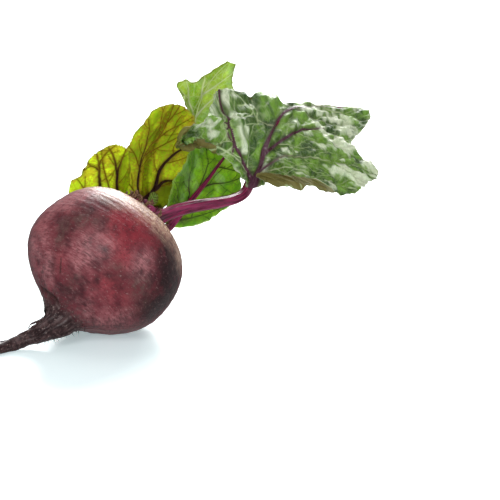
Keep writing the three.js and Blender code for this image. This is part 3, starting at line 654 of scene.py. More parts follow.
# Side veins: half width where one starts, and its places (u, v) from there to the rim.
VEINS = {
    "left": [
        (0.4, [(0.5, 0), (0.45, 0.45), (0.4, 0.7), (0.4, 0.95)]),
        (0.25, [(0.4, 0.7), (0.35, 0.8), (0.25, 0.95)]),
        (0.25, [(0.45, 0.6), (0.5, 0.75), (0.6, 0.95)]),
        (0.65, [(0.15, 0), (0.2, 0.4), (0.15, 0.95)]),
        (0.4, [(0.2, 0.4), (0.25, 0.7), (0.3, 0.95)]),
        (0.22, [(0.3, 0), (0.35, 0.5), (0.35, 0.95)]),
        (0.22, [(0.7, 0), (0.7, 0.9)]),
        (0.2, [(0.2, 0), (0.3, -0.9)]),
        (0.2, [(0.5, 0), (0.6, -0.9)]),
    ],
    "tall": [
        (0.45, [(0.2, -0.3), (0.4, -0.3), (0.6, -0.45), (0.7, -0.9)]),
        (1.15, [(0.05, 0.1), (0.15, 0.3), (0.35, 0.35), (0.5, 0.55), (0.6, 0.95)]),
        (0.8, [(0.2, 0.35), (0.3, 0.5), (0.35, 0.95)]),
        (0.22, [(0.6, 0), (0.7, 0.25), (0.75, 0.95)]),
        (0.22, [(0.45, -0.2), (0.6, 0.35), (0.7, 0.95)]),
        (0.22, [(0.3, -0.2), (0.4, -0.55), (0.45, -0.95)]),
        (0.22, [(0.1, -0.3), (0.2, -0.6), (0.3, -0.95)]),
        (0.2, [(0.7, 0.1), (0.8, -0.3), (0.9, -0.85)]),
        (0.2, [(0.8, 0.15), (0.9, 0.5), (0.95, 0.9)]),
    ],
    "upright": [
        (0.4, [(0.3, 0), (0.5, -0.5), (0.55, -0.95)]),
        (0.4, [(0.4, 0), (0.6, 0.4), (0.7, 0.95)]),
        (0.35, [(0.6, 0), (0.75, -0.5), (0.8, -0.95)]),
        (0.35, [(0.65, 0), (0.8, 0.5), (0.9, 0.95)]),
        (0.35, [(0.2, 0), (0.35, 0.5), (0.5, 0.95)]),
        (0.35, [(0.1, 0), (0.25, -0.5), (0.35, -0.95)]),
    ],
    "turned": [
        (0.35, [(0.3, 0), (0.4, 0.4), (0.5, 0.7), (0.6, 0.95)]),
        (0.3, [(0.45, 0), (0.65, 0.25), (0.7, 0.6), (0.75, 0.95)]),
        (0.35, [(0.45, 0), (0.55, -0.2), (0.6, -0.5), (0.7, -0.95)]),
        (0.3, [(0.1, -0.2), (0.15, -0.5), (0.4, -0.95)]),
        (0.25, [(0.75, 0), (0.75, -0.95)]),
        (0.3, [(0.1, 0), (0.2, 0.4), (0.3, 0.95)]),
        (0.3, [(0.25, 0), (0.35, -0.45), (0.5, -0.95)]),
    ],
    "large": [
        (1.0, [(0.05, -0.1), (0.1, -0.4), (0.2, -0.5), (0.35, -0.45), (0.5, -0.6)]),
        (0.3, [(0.1, -0.45), (0.2, -0.75), (0.25, -0.95)]),
        (0.25, [(0.3, -0.45), (0.35, -0.7), (0.4, -0.95)]),
        (0.3, [(0.4, 0), (0.45, -0.15), (0.6, -0.5), (0.75, -0.95)]),
        (0.3, [(0.6, 0), (0.7, -0.3), (0.85, -0.7), (0.9, -0.95)]),
        (0.65, [(0.2, 0), (0.3, 0.1), (0.5, 0.2), (0.6, 0.3), (0.7, 0.55), (0.8, 0.95)]),
        (0.45, [(0.1, 0.05), (0.2, 0.2), (0.35, 0.35), (0.5, 0.6), (0.6, 0.95)]),
        (0.3, [(0.1, 0), (0.15, 0.25), (0.25, 0.45), (0.35, 0.7), (0.45, 0.95)]),
        (0.3, [(0.05, 0), (0.1, 0.25), (0.2, 0.6), (0.3, 0.95)]),
        (0.3, [(0.6, 0), (0.7, 0.25), (0.8, 0.6), (0.85, 0.95)]),
        (0.25, [(0.75, 0), (0.85, 0.3), (0.9, 0.8)]),
        (0.25, [(0.75, 0), (0.85, -0.4), (0.95, -0.85)]),
    ],
}
# How a rim rolls up over the leaf: length of the arc, degrees, from where to where along the midrib, and the
# flat flap after the arc.
ROLLS = {
    "large": [(4, 165, 0.22, 0.5, 2.5), (4, 168, 0.08, 0.3, 7)],
    "turned": [(2, 60, 0, 1, 0), (2, 60, 0, 1, 0)],
}
PLAIN_ROLLS = [(2, 35, 0, 1, 0), (2, 35, 0, 1, 0)]
print("strong side veins:", {name: len(lines) for name, lines in VEINS.items()})

# %% Curves of a leaf
BLADE_THICKNESS, CLEARANCE, SOCKET_DEPTH = 0.7, 0.3, 4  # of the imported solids


def bezier(knots, t):
    """A cubic Bezier and its slope: the knots weighed by (1-t)^3, 3t(1-t)^2, 3t^2(1-t) and t^3."""
    t = np.asarray(t, float)[..., None]
    a, b, c, d = np.asarray(knots, float)
    w = 1 - t
    place = a * w**3 + 3 * b * t * w**2 + 3 * c * t**2 * w + d * t**3
    return place, 3 * ((b - a) * w**2 + 2 * (c - b) * t * w + (d - c) * t**2)


def leaf_curve(places, u):
    """The smooth curve through places that lie one step apart: u runs from 0 to 1 over all of it."""
    places, u = np.asarray(places, float), np.asarray(u, float)
    steps = len(places) - 1
    return smooth_through(np.arange(steps + 1), places, u.ravel() * steps).reshape(*u.shape, places.shape[1])


def through(three, u):
    """The quadratic through three values, at 0, one half and 1."""
    base, middle, tip = (np.asarray(value, float) for value in three)
    u = np.asarray(u, float)
    if base.ndim:
        u = u[..., None]
    return base * (1 - u) * (1 - 2 * u) + middle * 4 * u * (1 - u) + tip * u * (2 * u - 1)


def rib_frame(leaf, u):
    """Middle, heading and upper side along a blade's midrib."""
    ahead, behind = np.minimum(u + 1e-3, 1), np.maximum(u - 1e-3, 0)
    heading = unit(leaf_curve(leaf["rib"], ahead) - leaf_curve(leaf["rib"], behind))
    return leaf_curve(leaf["rib"], u), heading, square_to(heading, through(leaf["face"], u))


def half_frame(leaf, side, u):
    """One half of a blade, 0 left or 1 right: the line from the midrib to the rim, its length, the direction
    square to it on the upper side, and how far in that direction it bows and its rim is ruffled."""
    middle, _, face = rib_frame(leaf, u)
    out = leaf_curve(leaf["rims"][side], u) - middle
    width = np.linalg.norm(out, axis=-1)
    height, number, phase = leaf["ruffles"][side]
    calm = np.sqrt(np.sin(np.pi * u).clip(0))
    ruffle = height * calm * np.sin(2 * np.pi * (number * u + phase))
    return out, width, square_to(out / width[..., None], face), through(leaf["bows"][side], u) * width, ruffle


def fold_normal(leaf, u):
    """The mean of the two halves' unit normals beside the midrib, shorter where the blade is folded more."""
    heading = rib_frame(leaf, u)[1]
    total = 0
    for side, sign in ((0, -1), (1, 1)):
        out, _, rise, bow, _ = half_frame(leaf, side, u)
        total = total + unit(np.cross(sign * (out + 4 * bow[..., None] * rise), heading)) / 2
    return total


def stalk_knots(leaf):
    """Bezier knots of a stalk: it rises from its seat on the crown and arrives along the midrib's start."""
    base, following = np.array(leaf["rib"][:2], float)
    turn, distance = np.radians(leaf["seat"][0]), leaf["seat"][1]
    away = ACROSS * np.cos(turn) + RISE * np.sin(turn)
    rising = unit(leaf["lean"] * away - TAIL_DIRECTION)
    fold = fold_normal(leaf, np.array(0.02))
    hang = (BLADE_THICKNESS / 2 + CLEARANCE + leaf["stalk"][0]) / np.linalg.norm(fold)
    foot = GLOBE_MIDDLE + (CROWN_TOP + SOCKET_DEPTH) * TAIL_DIRECTION + distance * away
    foot = foot + hang * square_to(rising, fold)
    return [foot, foot + leaf["rise"] * rising, base - leaf["arrive"] * unit(following - base), base]


# %% [markdown]
# A blade is laid out on two parameters: one along the midrib, the other out to the rim, from -1 at the left
# one to 1 at the right one. Each half bows a little and is ruffled at the rim, and there it may roll up over
# the leaf, as beet leaves do, and then shows its underside.
# %% The blade's surface
def half_place(half, share):
    """Places at a share of the way from the midrib, less the midrib's own place: along the line to the rim,
    with a bow of 4s(1-s) times its height and the ruffle growing with s^2."""
    out, _, rise, bow, ruffle = half
    lift = bow * 4 * share * (1 - share) + ruffle * share**2
    return out * share[..., None] + rise * lift[..., None]


def blade_surface(leaf, u, v, rolls=PLAIN_ROLLS, nicks=0):
    """Places on a blade, the same places on the leaf pressed flat, and how far they are from the rim, in mm.
    The roll at the rim is an arc of some length and turn, which ends no further out than the rim, and then
    a flat flap."""
    middle, heading, face = rib_frame(leaf, u)
    ribs = np.linspace(0, 1, 200)
    rib_places = leaf_curve(leaf["rib"], ribs)
    lengths = np.cumsum(np.linalg.norm(np.diff(rib_places, axis=0, prepend=rib_places[:1]), axis=1))
    results = []
    for side, sign in ((0, -1), (1, 1)):
        half = half_frame(leaf, side, u)
        out, width = half[:2]
        length, degrees, first, last, flap = rolls[side]
        here = between(first - 0.05, first + 0.03, u) * (1 - between(last - 0.03, last + 0.05, u))
        turn = np.radians(20 + (degrees - 20) * here)
        length = np.minimum(length * (0.4 + 0.6 * here), 0.45 * width)
        start = 1 - length * np.sin(np.minimum(turn, np.pi / 2)) / turn / width
        way = np.abs(v) * (start * width + length + flap * here) * (1 - nicks)
        share = np.minimum(way / width, start)
        over = np.clip(way - start * width, 0, length) * turn / length
        beyond = np.maximum(way - start * width - length, 0)[..., None]
        edge = half_place(half, start + 0 * share)
        outwards = unit(edge - half_place(half, start - 0.02 + 0 * share))
        upwards = square_to(outwards, face)
        arc = outwards * np.sin(over)[..., None] + upwards * (1 - np.cos(over))[..., None]
        flat_flap = outwards * np.cos(turn)[..., None] + upwards * np.sin(turn)[..., None]
        place = middle + half_place(half, share) + arc * (length / turn)[..., None] + beyond * flat_flap
        slant = (heading * out).sum(-1) / width
        flat_x = np.interp(u, ribs, lengths) + way * slant
        flat_y = sign * way * np.sqrt(1 - slant**2)
        results.append((place, np.stack([flat_x, flat_y], -1), start * width + length + flap * here - way))
    pick = v < 0
    return tuple(np.where(pick[..., None] if a.ndim > v.ndim else pick, a, b) for a, b in zip(*results))


heart_tip = blade_surface(LEAVES["heart"], np.ones((1, 1)), np.zeros((1, 1)))[0]
print("heart leaf's tip:", heart_tip.round(1)[0, 0])

# %% [markdown]
# ### How far each point is from a vein
# The blade swells between veins and sinks at them, and its finish is darker along them. Both need the same
# number at each point: the gap to the nearest vein. The veins could be painted on, but then the swells would
# not follow them; so they are lines on the leaf pressed flat, and the gaps are worked out from those.
# %% Side veins and their forks
FORK_SPACING = 7  # mm between two branches of a vein
FORK_SHARE = 0.24  # of the vein's own half width


def regular_veins(leaf, number=8, bend=0.05):
    """Side veins of a leaf that lies flat: they leave the midrib at regular places, on both sides by turns,
    and bend towards the tip."""
    s = np.linspace(0, 0.95, 6)
    veins = []
    for k in range(number):
        for sign in (-1, 1):
            start = ((k + 0.35 + 0.15 * sign) / number) ** 1.25 * 0.92
            way = np.stack([start + bend * (0.5 + start) * s**2, sign * s], -1)
            veins.append((0.22 * leaf["stalk"][1] * (1 - 0.45 * start), way))
    return veins


def forks(line, sizes, spacing, chance):
    """Branches of a vein, one each spacing on either side by turns. They leave it at 35 to 55 degrees, bend
    back towards its way and taper."""
    steps = np.linalg.norm(np.diff(line, axis=0), axis=1)
    way = np.concatenate([[0], np.cumsum(steps)])
    heading = unit(np.gradient(line, axis=0))
    found = []
    for k, at in enumerate(np.arange(0.12 * way[-1] + spacing * 0.5, 0.93 * way[-1], spacing)):
        start = np.array([np.interp(at, way, line[:, i]) for i in (0, 1)])
        ahead = np.array([np.interp(at, way, heading[:, i]) for i in (0, 1)])
        swing = np.radians(chance.uniform(35, 55)) * (1, -1)[k % 2]
        length = chance.uniform(0.7, 1.1) * (4 + 0.42 * (way[-1] - at))
        t = np.linspace(0, 1, 6)
        turn = swing * (1 - 0.5 * t)
        step = np.stack([ahead[0] * np.cos(turn) - ahead[1] * np.sin(turn),
                         ahead[0] * np.sin(turn) + ahead[1] * np.cos(turn)], -1)
        branch = start + np.cumsum(step * length / 5, axis=0) - step[0] * length / 5
        found.append((branch, FORK_SHARE * np.interp(at, way, sizes) * (1 - 0.7 * t)))
    return found


def gap_to_line(points, line, halves):
    """For flat points: the distance to a line of flat places, less the line's half width there, and that
    half width. Each stretch of the line is tried, and the nearest counts."""
    start, way = line[:-1], np.diff(line, axis=0)
    away = points[:, None] - start
    share = np.clip(np.einsum("ijk,jk->ij", away, way) / (way**2).sum(1).clip(1e-9), 0, 1)
    distance = np.linalg.norm(away - share[..., None] * way, axis=-1)
    width = halves[:-1] + share * np.diff(halves)
    nearest = np.argmin(distance - width, axis=1)[:, None]
    distance, width = (np.take_along_axis(a, nearest, 1)[:, 0] for a in (distance, width))
    return distance - width, width


def vein_lines(name, leaf):
    """The midrib, the side veins and their forks as flat lines with half widths; the midrib comes first."""
    chance = np.random.default_rng(len(name))
    flat_line = lambda way: blade_surface(leaf, way[:, :1].clip(0.004, 0.99), way[:, 1:])[1][:, 0]
    ribs = np.linspace(0, 1, 40)
    keel = leaf_curve(KEELS.get(name, [(0, 0), (0.985, 0)]), ribs)
    lines = [(flat_line(keel), KEEL_SIZES[name] * (0.06 + 0.94 * np.exp(-3.5 * ribs)))]
    for size, places in VEINS.get(name) or regular_veins(leaf):
        line = flat_line(leaf_curve(places, np.linspace(0, 1, 20)))
        sizes = size * (1 - 0.8 * np.linspace(0, 1, 20))
        lines.append((line, sizes))
        lines += forks(line, sizes, FORK_SPACING, chance)
    return lines


def vein_field(name, leaf, flat):
    """Gap to the nearest vein, in mm, that vein's half width, and the same two for the midrib."""
    points = flat.reshape(-1, 2)
    lines = vein_lines(name, leaf)
    keel = gap, width = gap_to_line(points, *lines[0])
    for line, sizes in lines[1:]:
        other, other_width = gap_to_line(points, line, sizes)
        closer = other < gap
        gap, width = np.where(closer, other, gap), np.where(closer, other_width, width)
    return tuple(field.reshape(flat.shape[:2]) for field in (gap, width, *keel))


def cell_borders(points, size, seed):
    """Distance to the borders of cells about one size wide, for flat points: half of what the second
    nearest cell's middle is further off than the nearest. Each square of a grid holds one middle."""
    chance = np.random.default_rng(seed)
    squares = np.floor(points / size).astype(int)
    low = squares.min((0, 1)) - 2
    middles = chance.uniform(0.1, 0.9, (*(squares.max((0, 1)) - low + 3), 2))
    near = []
    for step in np.stack(np.meshgrid([-1, 0, 1], [-1, 0, 1]), -1).reshape(-1, 2):
        other = squares + step
        middle = (other + middles[tuple(np.moveaxis(other - low, -1, 0))]) * size
        near.append(np.linalg.norm(points - middle, axis=-1))
    nearest, second = np.sort(near, axis=0)[:2]
    return (second - nearest) / 2


# %% [markdown]
# ### The blades
# A leaf blade is thin, and its two sides differ: the veins lie in grooves above and stand out below. A plane
# with a Solidify modifier would make both sides alike. So either side is its own surface, and the two close
# into one flat ring at each step along the midrib.
# %% A blade as a piece
NICK = 0.013  # the share of the way out that a nick takes off, for each unit of its noise
SWING = 0.8  # of a quarter turn: columns follow its sine, so that they lie closer together at the rims


def blade_piece(name, leaf, pucker, quilt, seed):
    """A leaf blade: over the middle surface lie the swells between the side veins, one pucker high, and
    smaller ones in the net, one quilt high; side veins are grooves above and ridges below, and the midrib
    stands up on the upper side. The two sides make one ring at each step along the midrib."""
    rows, columns = leaf["grid"]
    u = (np.linspace(0.002, 0.998, rows) ** 1.1)[:, None]
    spread = np.linspace(-1, 1, 2 * columns + 1) * np.pi / 2 * SWING
    v = np.sin(spread)[None] / np.sin(np.pi / 2 * SWING) + 0 * u
    left_nicks, right_nicks = (
        NICK * (np.abs(waves(90 * u, 4, seed + k)) + np.abs(waves(90 * u, 11, seed + k + 5))) for k in (1, 2))
    nicks = np.where(v < 0, left_nicks[:, None], right_nicks[:, None])
    rolls = ROLLS.get(name, PLAIN_ROLLS)
    place, flat, rim = blade_surface(leaf, u, v, rolls, nicks)
    normal = unit(np.cross(np.gradient(place, axis=1), np.gradient(place, axis=0)))
    gap, width, keel_gap, keel_width = vein_field(name, leaf, flat)
    cells = cell_borders(flat, 5.5, seed)
    small = np.minimum(cells, np.maximum(gap, 0))
    swell = pucker * (1 - np.exp(-((np.maximum(gap, 0) / 2.4) ** 2)) - 0.6)
    swell += quilt * (1 - np.exp(-((small / 1.1) ** 2)) - 0.5)
    swell += 0.35 * pucker * waves(flat, 13, seed) + 0.1 * quilt * waves(flat, 2.5, seed + 1)
    swell *= (0.35 + 0.65 * between(0, 4, rim)) * (0.25 + 0.75 * between(0.5, 5, np.abs(flat[..., 1])))
    # crest: how high a point lies on its swell; the finish paints a pale sheen on the highest.
    crest = swell / (pucker + quilt)
    swell += 0.6 * quilt * waves(flat * (0.35, 1), 3.5, seed + 7)
    swell += 0.3 * np.exp(-rim / 2) * waves(flat, 6, seed + 3)
    distance = np.maximum(gap + width, 0)
    ridge = 1.3 * width * np.exp(-((distance / (1.2 * width + 0.25)) ** 2))
    keel = np.exp(-((np.maximum(keel_gap + keel_width, 0) / (0.9 * keel_width)) ** 2)) * keel_width
    thin = 0.13 + 0.2 * between(0, 3, rim)
    upper = place + (swell + thin - 0.3 * ridge + 0.75 * keel)[..., None] * normal
    lower = place + (swell - thin - ridge)[..., None] * normal
    rings = np.concatenate([upper, lower[:, ::-1]], axis=1)
    both = lambda field: np.concatenate([field, field[:, ::-1]], axis=1)
    under = np.concatenate([np.zeros_like(gap), np.ones_like(gap)], axis=1)
    flat_both = both(np.concatenate([flat, np.full(flat.shape[:2] + (1,), 40.0 * seed)], -1))
    foot = np.linalg.norm(flat - flat[0, columns], axis=-1)
    return close_rings(name + "_leaf", rings[None], {
        "flat": flat_both, "gap": both(gap), "vein": both(width), "net": both(small), "rim": both(rim),
        "foot": both(foot), "crest": both(crest), "under": under,
    })


# How high the swells between the side veins are, and those in the net.
SWELLS = {"left": (0.7, 0.25), "tall": (0.8, 0.3), "upright": (0.6, 0.2), "turned": (0.5, 0.2),
          "large": (1.7, 0.6), "back_left": (1.3, 0.35), "back": (1.2, 0.35), "heart": (0.2, 0.1)}
leaf_pieces = {}
for number, (leaf_name, leaf) in enumerate(LEAVES.items()):
    blade = blade_piece(leaf_name, leaf, *SWELLS[leaf_name], seed=11 + number)
    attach(blade, "root")
    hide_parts(f"leaf_{leaf_name}_blade")
    leaf_pieces[leaf_name] = blade
    print(blade.name, len(blade.data.polygons), "faces")

# %% [markdown]
# ### The stalks
# A beet leaf's stalk is ribbed and has a flat channel on top, and it runs on under the blade as the midrib. A
# curve with a round bevel would be quick, but it has neither channel nor ribs and can't flatten into the
# blade. So it is rings again: along a curve from the crown to the blade, and then along the midrib.
# %% A stalk as a piece
def stalk_piece(name, leaf, seed):
    """A stalk and midrib: a tube with a flat channel between two low edges on top and fine ribs along it, one
    ring for each step along the leaf. It hangs under the leaf's curve and rises into the blade as the
    midrib."""
    steps, sides = 200, 40
    t = np.concatenate([np.linspace(-1, 0, steps // 2, endpoint=False), np.linspace(0, 0.95, steps // 2)])
    stalk_place, stalk_slope = bezier(stalk_knots(leaf), t[: steps // 2] + 1)
    rib_place, rib_heading = rib_frame(leaf, t[steps // 2 :])[:2]
    middle = np.concatenate([stalk_place, rib_place])
    heading = unit(np.concatenate([stalk_slope, rib_heading]))
    fold = fold_normal(leaf, np.maximum(t, 0.02))
    face = square_to(heading, fold)
    right = np.cross(heading, face)
    root_size, base, tip = leaf["stalk"]
    down, out = np.clip(-t, 0, 1), np.clip(t, 0, 1)
    size = np.where(t < 0, base + (root_size - base) * down**1.5, base + (tip - base) * out**0.8)
    size = size * (1 - 0.6 * between(0.85, 0.95, t))
    joined = between(-0.3, 0.05, t)
    hang = (1 - joined) * (BLADE_THICKNESS / 2 + CLEARANCE + size) + joined * (size + 0.35)
    hang = hang / np.linalg.norm(fold, axis=-1)
    turn = np.linspace(0, 2 * np.pi, sides, endpoint=False)
    up, side = np.cos(turn), np.sin(turn)
    length = np.cumsum(np.linalg.norm(np.diff(middle, axis=0, prepend=middle[:1]), axis=1))
    streak = np.stack([size[:, None] * side, size[:, None] * up,
                       np.broadcast_to(length[:, None], (steps, sides))], -1) + (0, 0, 60.0 * seed)
    beside_channel = np.abs(turn - np.pi) - np.pi + 0.7
    channel = 0.3 * np.maximum(up, 0) ** 2 - 0.08 * np.exp(-((beside_channel / 0.25) ** 2))
    ribs = 0.03 * np.cos(9 * turn) + 0.02 * waves(streak * (1, 1, 0.04), 1.2, seed)
    radius = size[:, None] * (1 - channel + ribs)
    centre = middle - hang[:, None] * face
    outwards = face[:, None] * up[:, None] + right[:, None] * side[:, None]
    rings = centre[:, None] + radius[..., None] * outwards
    return close_rings(name, rings[None], {"streak": streak})


for number, (leaf_name, leaf) in enumerate(LEAVES.items()):
    stalk = stalk_piece(leaf_name + "_stalk", leaf, seed=31 + number)
    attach(stalk, "root")
    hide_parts(f"leaf_{leaf_name}_stalk")
    leaf_pieces[leaf_name + "_stalk"] = stalk
print("stalks:", len(LEAVES))

# %% [markdown]
# ## Finishes
# Each finish is mixed from a few layers, as a painter would: a ground colour that changes over centimetres,
# then blotches, streaks and a net, each with its own grain. They read the places that the pieces carry:
# "straight" on the root, "streak" on a stalk, and "flat" with the gaps to veins on a blade, all in mm. A
# picture wrapped round the piece would blur close up and show a seam; these layers do neither.
# %% Short calls for a material's nodes
class Paint:
    """A material whose nodes are added by short calls, most of which return the socket to use next."""

    def __init__(self, name):
        self.material = bpy.data.materials.new(name)
        self.material.use_nodes = True
        self.nodes, self.links = self.material.node_tree.nodes, self.material.node_tree.links
        self.shader = self.nodes["Principled BSDF"]

    def put(self, node, key, value):
        """Sets an input to a plain value, or links a socket to it."""
        if isinstance(value, bpy.types.NodeSocket):
            self.links.new(value, node.inputs[key])
        else:
            node.inputs[key].default_value = value

    def add(self, kind, settings=(), **inputs):
        """A new node of a kind, with its settings and its inputs; _ stands for a space in their names."""
        node = self.nodes.new("ShaderNode" + kind)
        for key, value in dict(settings).items():
            setattr(node, key, value)
        for key, value in inputs.items():
            self.put(node, key.replace("_", " "), value)
        return node

    def field(self, name, output="Fac"):
        """A number, or with output "Vector" a place, that the piece carries at each point."""
        return self.add("Attribute", {"attribute_name": name}).outputs[output]

    def stretched(self, place, x, y, z):
        """A place with its three numbers multiplied; where one is small, a pattern is long that way."""
        node = self.add("VectorMath", {"operation": "MULTIPLY"})
        self.put(node, 0, place)
        self.put(node, 1, (x, y, z))
        return node.outputs[0]

    def noise(self, place, size, detail=2.0, grain=0.5):
        """Noise between 0 and 1 with a mean of one half; size is the size of its blotches in mm."""
        node = self.add("TexNoise", Vector=place, Scale=1 / size, Detail=detail, Roughness=grain)
        return node.outputs["Fac"]

    def cells(self, place, size):
        """Distance to the borders of cells, as a share of their size."""
        node = self.add("TexVoronoi", {"feature": "DISTANCE_TO_EDGE"}, Vector=place, Scale=1 / size)
        return node.outputs["Distance"]

    def ease(self, value, low, high, start=0.0, end=1.0):
        """Eases from start, where the value is low, to end, where it is high."""
        node = self.add("MapRange", {"interpolation_type": "SMOOTHSTEP"}, Value=value)
        for key, number in (("From Min", low), ("From Max", high), ("To Min", start), ("To Max", end)):
            self.put(node, key, number)
        return node.outputs["Result"]

    def sum(self, a, b, operation="ADD"):
        """a + b, or what another operation makes of the two."""
        node = self.add("Math", {"operation": operation})
        self.put(node, 0, a)
        self.put(node, 1, b)
        return node.outputs[0]

    def times(self, a, b):
        """a times b."""
        return self.sum(a, b, "MULTIPLY")

    def mix(self, share, ground, layer):
        """A layer's colour over a ground colour, by a share from 0 to 1."""
        node = self.add("Mix", {"data_type": "RGBA"})
        self.put(node, 0, share)
        self.put(node, 6, ground if isinstance(ground, bpy.types.NodeSocket) else (*ground, 1))
        self.put(node, 7, layer if isinstance(layer, bpy.types.NodeSocket) else (*layer, 1))
        return node.outputs[2]

    def bump(self, height, depth):
        """Tilts the surface as a height between 0 and 1 would, one depth in mm tall."""
        node = self.add("Bump", Height=height, Distance=depth * MM, Strength=1.0)
        self.put(self.shader, "Normal", node.outputs[0])

    def finish(self, colour, roughness, **plain):
        """Gives the shader its colour and roughness and sets its other inputs to plain values."""
        self.put(self.shader, "Base Color", colour)
        self.put(self.shader, "Roughness", roughness)
        for key, value in plain.items():
            self.put(self.shader, key.replace("_", " "), value)
        return self.material


# %% [markdown]
# ### Finish of the root
# The skin is dull maroon, and its dry film looks brushed on round the root. Two patches of the film are
# painted highlights, and one flank is painted shade. An even noise would look like dust. So the film's
# noise is pressed flat along the axis and drawn out round it, and the same noise also makes the dark fibres.
# %% Skin of the root
def skin_paint():
    """Maroon skin with redder and duller places under a dry greyish bloom, which lies on it in fibres that
    run round the root; two of its patches are painted highlights, and one flank is painted shade, deep
    maroon. The shoulders are scurfy, the crown brown, and the tail dark with pale specks."""
    paint = Paint("beet skin")
    place = paint.field("straight", "Vector")
    bloom_and_highlight, rubbed, stain = (paint.field(label) for label in ("bloom_and_highlight", "rubbed", "stain"))
    down = paint.add("SeparateXYZ", Vector=place).outputs["Z"]
    fibres = paint.noise(paint.stretched(place, 0.16, 0.16, 1), 0.55, 4, 0.7)
    grain = paint.noise(place, 1.0, 4, 0.7)
    speckles = paint.noise(paint.stretched(place, 0.45, 0.45, 1), 0.7, 3, 0.7)
    mottle = paint.noise(place, 2.6, 5, 0.7)
    blotches = paint.noise(place, 9, 4, 0.65)
    colour = paint.mix(paint.ease(blotches, 0.40, 0.60), (0.035, 0.003, 0.007), (0.105, 0.009, 0.017))
    red = paint.times(paint.ease(mottle, 0.3, 0.6, 0.35, 1), rubbed)
    colour = paint.mix(red, colour, (0.21, 0.016, 0.026))
    # Painted shade: one flank darkened to deep maroon, with less film on it, as if it lay in shade.
    painted_shade = paint.field("dark")
    colour = paint.mix(painted_shade, colour, (0.016, 0.002, 0.004))
    dull = paint.times(paint.ease(mottle, 0.42, 0.58, 0.3, 1), stain)
    colour = paint.mix(paint.times(dull, 0.85), colour, (0.06, 0.038, 0.03))
    # The film is the dry bloom, and in two patches a painted highlight of the lamps.
    film_and_highlight = paint.times(paint.sum(paint.times(bloom_and_highlight, 0.75), 0.04), paint.ease(fibres, 0.34, 0.64, 0.3, 1))
    film_and_highlight = paint.times(film_and_highlight, paint.ease(mottle, 0.35, 0.6, 0.6, 1.1))
    film_and_highlight = paint.times(film_and_highlight, paint.ease(painted_shade, 0.05, 0.5, 1, 0.12))
    colour = paint.mix(film_and_highlight, colour, (0.37, 0.13, 0.14))
    colour = paint.mix(paint.ease(fibres, 0.30, 0.42, 0.3, 0), colour, (0.03, 0.008, 0.008))
    colour = paint.mix(paint.ease(speckles, 0.58, 0.72, 0, 0.35), colour, (0.42, 0.25, 0.24))
    pores = paint.ease(grain, 0.58, 0.68, 0, 0.7)
    colour = paint.mix(pores, colour, (0.04, 0.015, 0.012))
    edge = paint.sum(down, paint.times(paint.sum(blotches, -0.5), 18))
    shoulder = paint.times(paint.ease(edge, -21, -9, 1, 0), paint.ease(fibres, 0.34, 0.6, 0.25, 1))
    scurf = paint.mix(mottle, (0.30, 0.15, 0.13), (0.52, 0.32, 0.22))
    colour = paint.mix(paint.times(shoulder, 0.8), colour, scurf)
    flakes = paint.times(paint.ease(edge, -23, -14, 1, 0), paint.ease(grain, 0.5, 0.62))
    colour = paint.mix(flakes, colour, (0.66, 0.46, 0.31))
    crown = paint.ease(paint.sum(down, paint.times(grain, 4)), -27, -23, 1, 0)
    colour = paint.mix(crown, colour, paint.mix(grain, (0.05, 0.025, 0.012), (0.30, 0.19, 0.11)))
    neck = paint.ease(paint.sum(down, paint.times(paint.sum(mottle, -0.5), 14)), 27, 34)
    bark = paint.mix(paint.ease(mottle, 0.45, 0.6), (0.022, 0.008, 0.009), (0.07, 0.035, 0.035))
    bark = paint.mix(paint.ease(grain, 0.58, 0.7), bark, (0.30, 0.22, 0.20))
    colour = paint.mix(neck, colour, bark)
    colour = paint.mix(paint.field("scar"), colour, (0.035, 0.01, 0.01))
    height = paint.sum(paint.times(grain, 0.6), paint.times(fibres, 0.6))
    paint.bump(height, 0.2)
    roughness = paint.sum(0.36, paint.times(film_and_highlight, 0.08))
    return paint.finish(colour, roughness, Specular_IOR_Level=0.3)


beet_skin = skin_paint()
for piece in (root, side_roots, root_hairs):
    piece.data.materials.append(beet_skin)
print("painted:", beet_skin.name)


# %% Dry scales
def scale_paint():
    """Papery dry scales: brown and straw in streaks, reddish in places."""
    paint = Paint("dry scales")
    place = paint.field("straight", "Vector")
    streaks = paint.noise(place, 0.8, 4, 0.7)
    colour = paint.mix(paint.ease(streaks, 0.35, 0.65), (0.05, 0.022, 0.012), (0.24, 0.13, 0.07))
    reddish = paint.ease(paint.noise(place, 3, 3, 0.6), 0.5, 0.65, 0, 0.6)
    colour = paint.mix(reddish, colour, (0.14, 0.02, 0.035))
    paint.bump(streaks, 0.1)
    return paint.finish(colour, 0.7, Specular_IOR_Level=0.2)


scales.data.materials.append(scale_paint())
print("painted:", scales.data.materials[0].name)


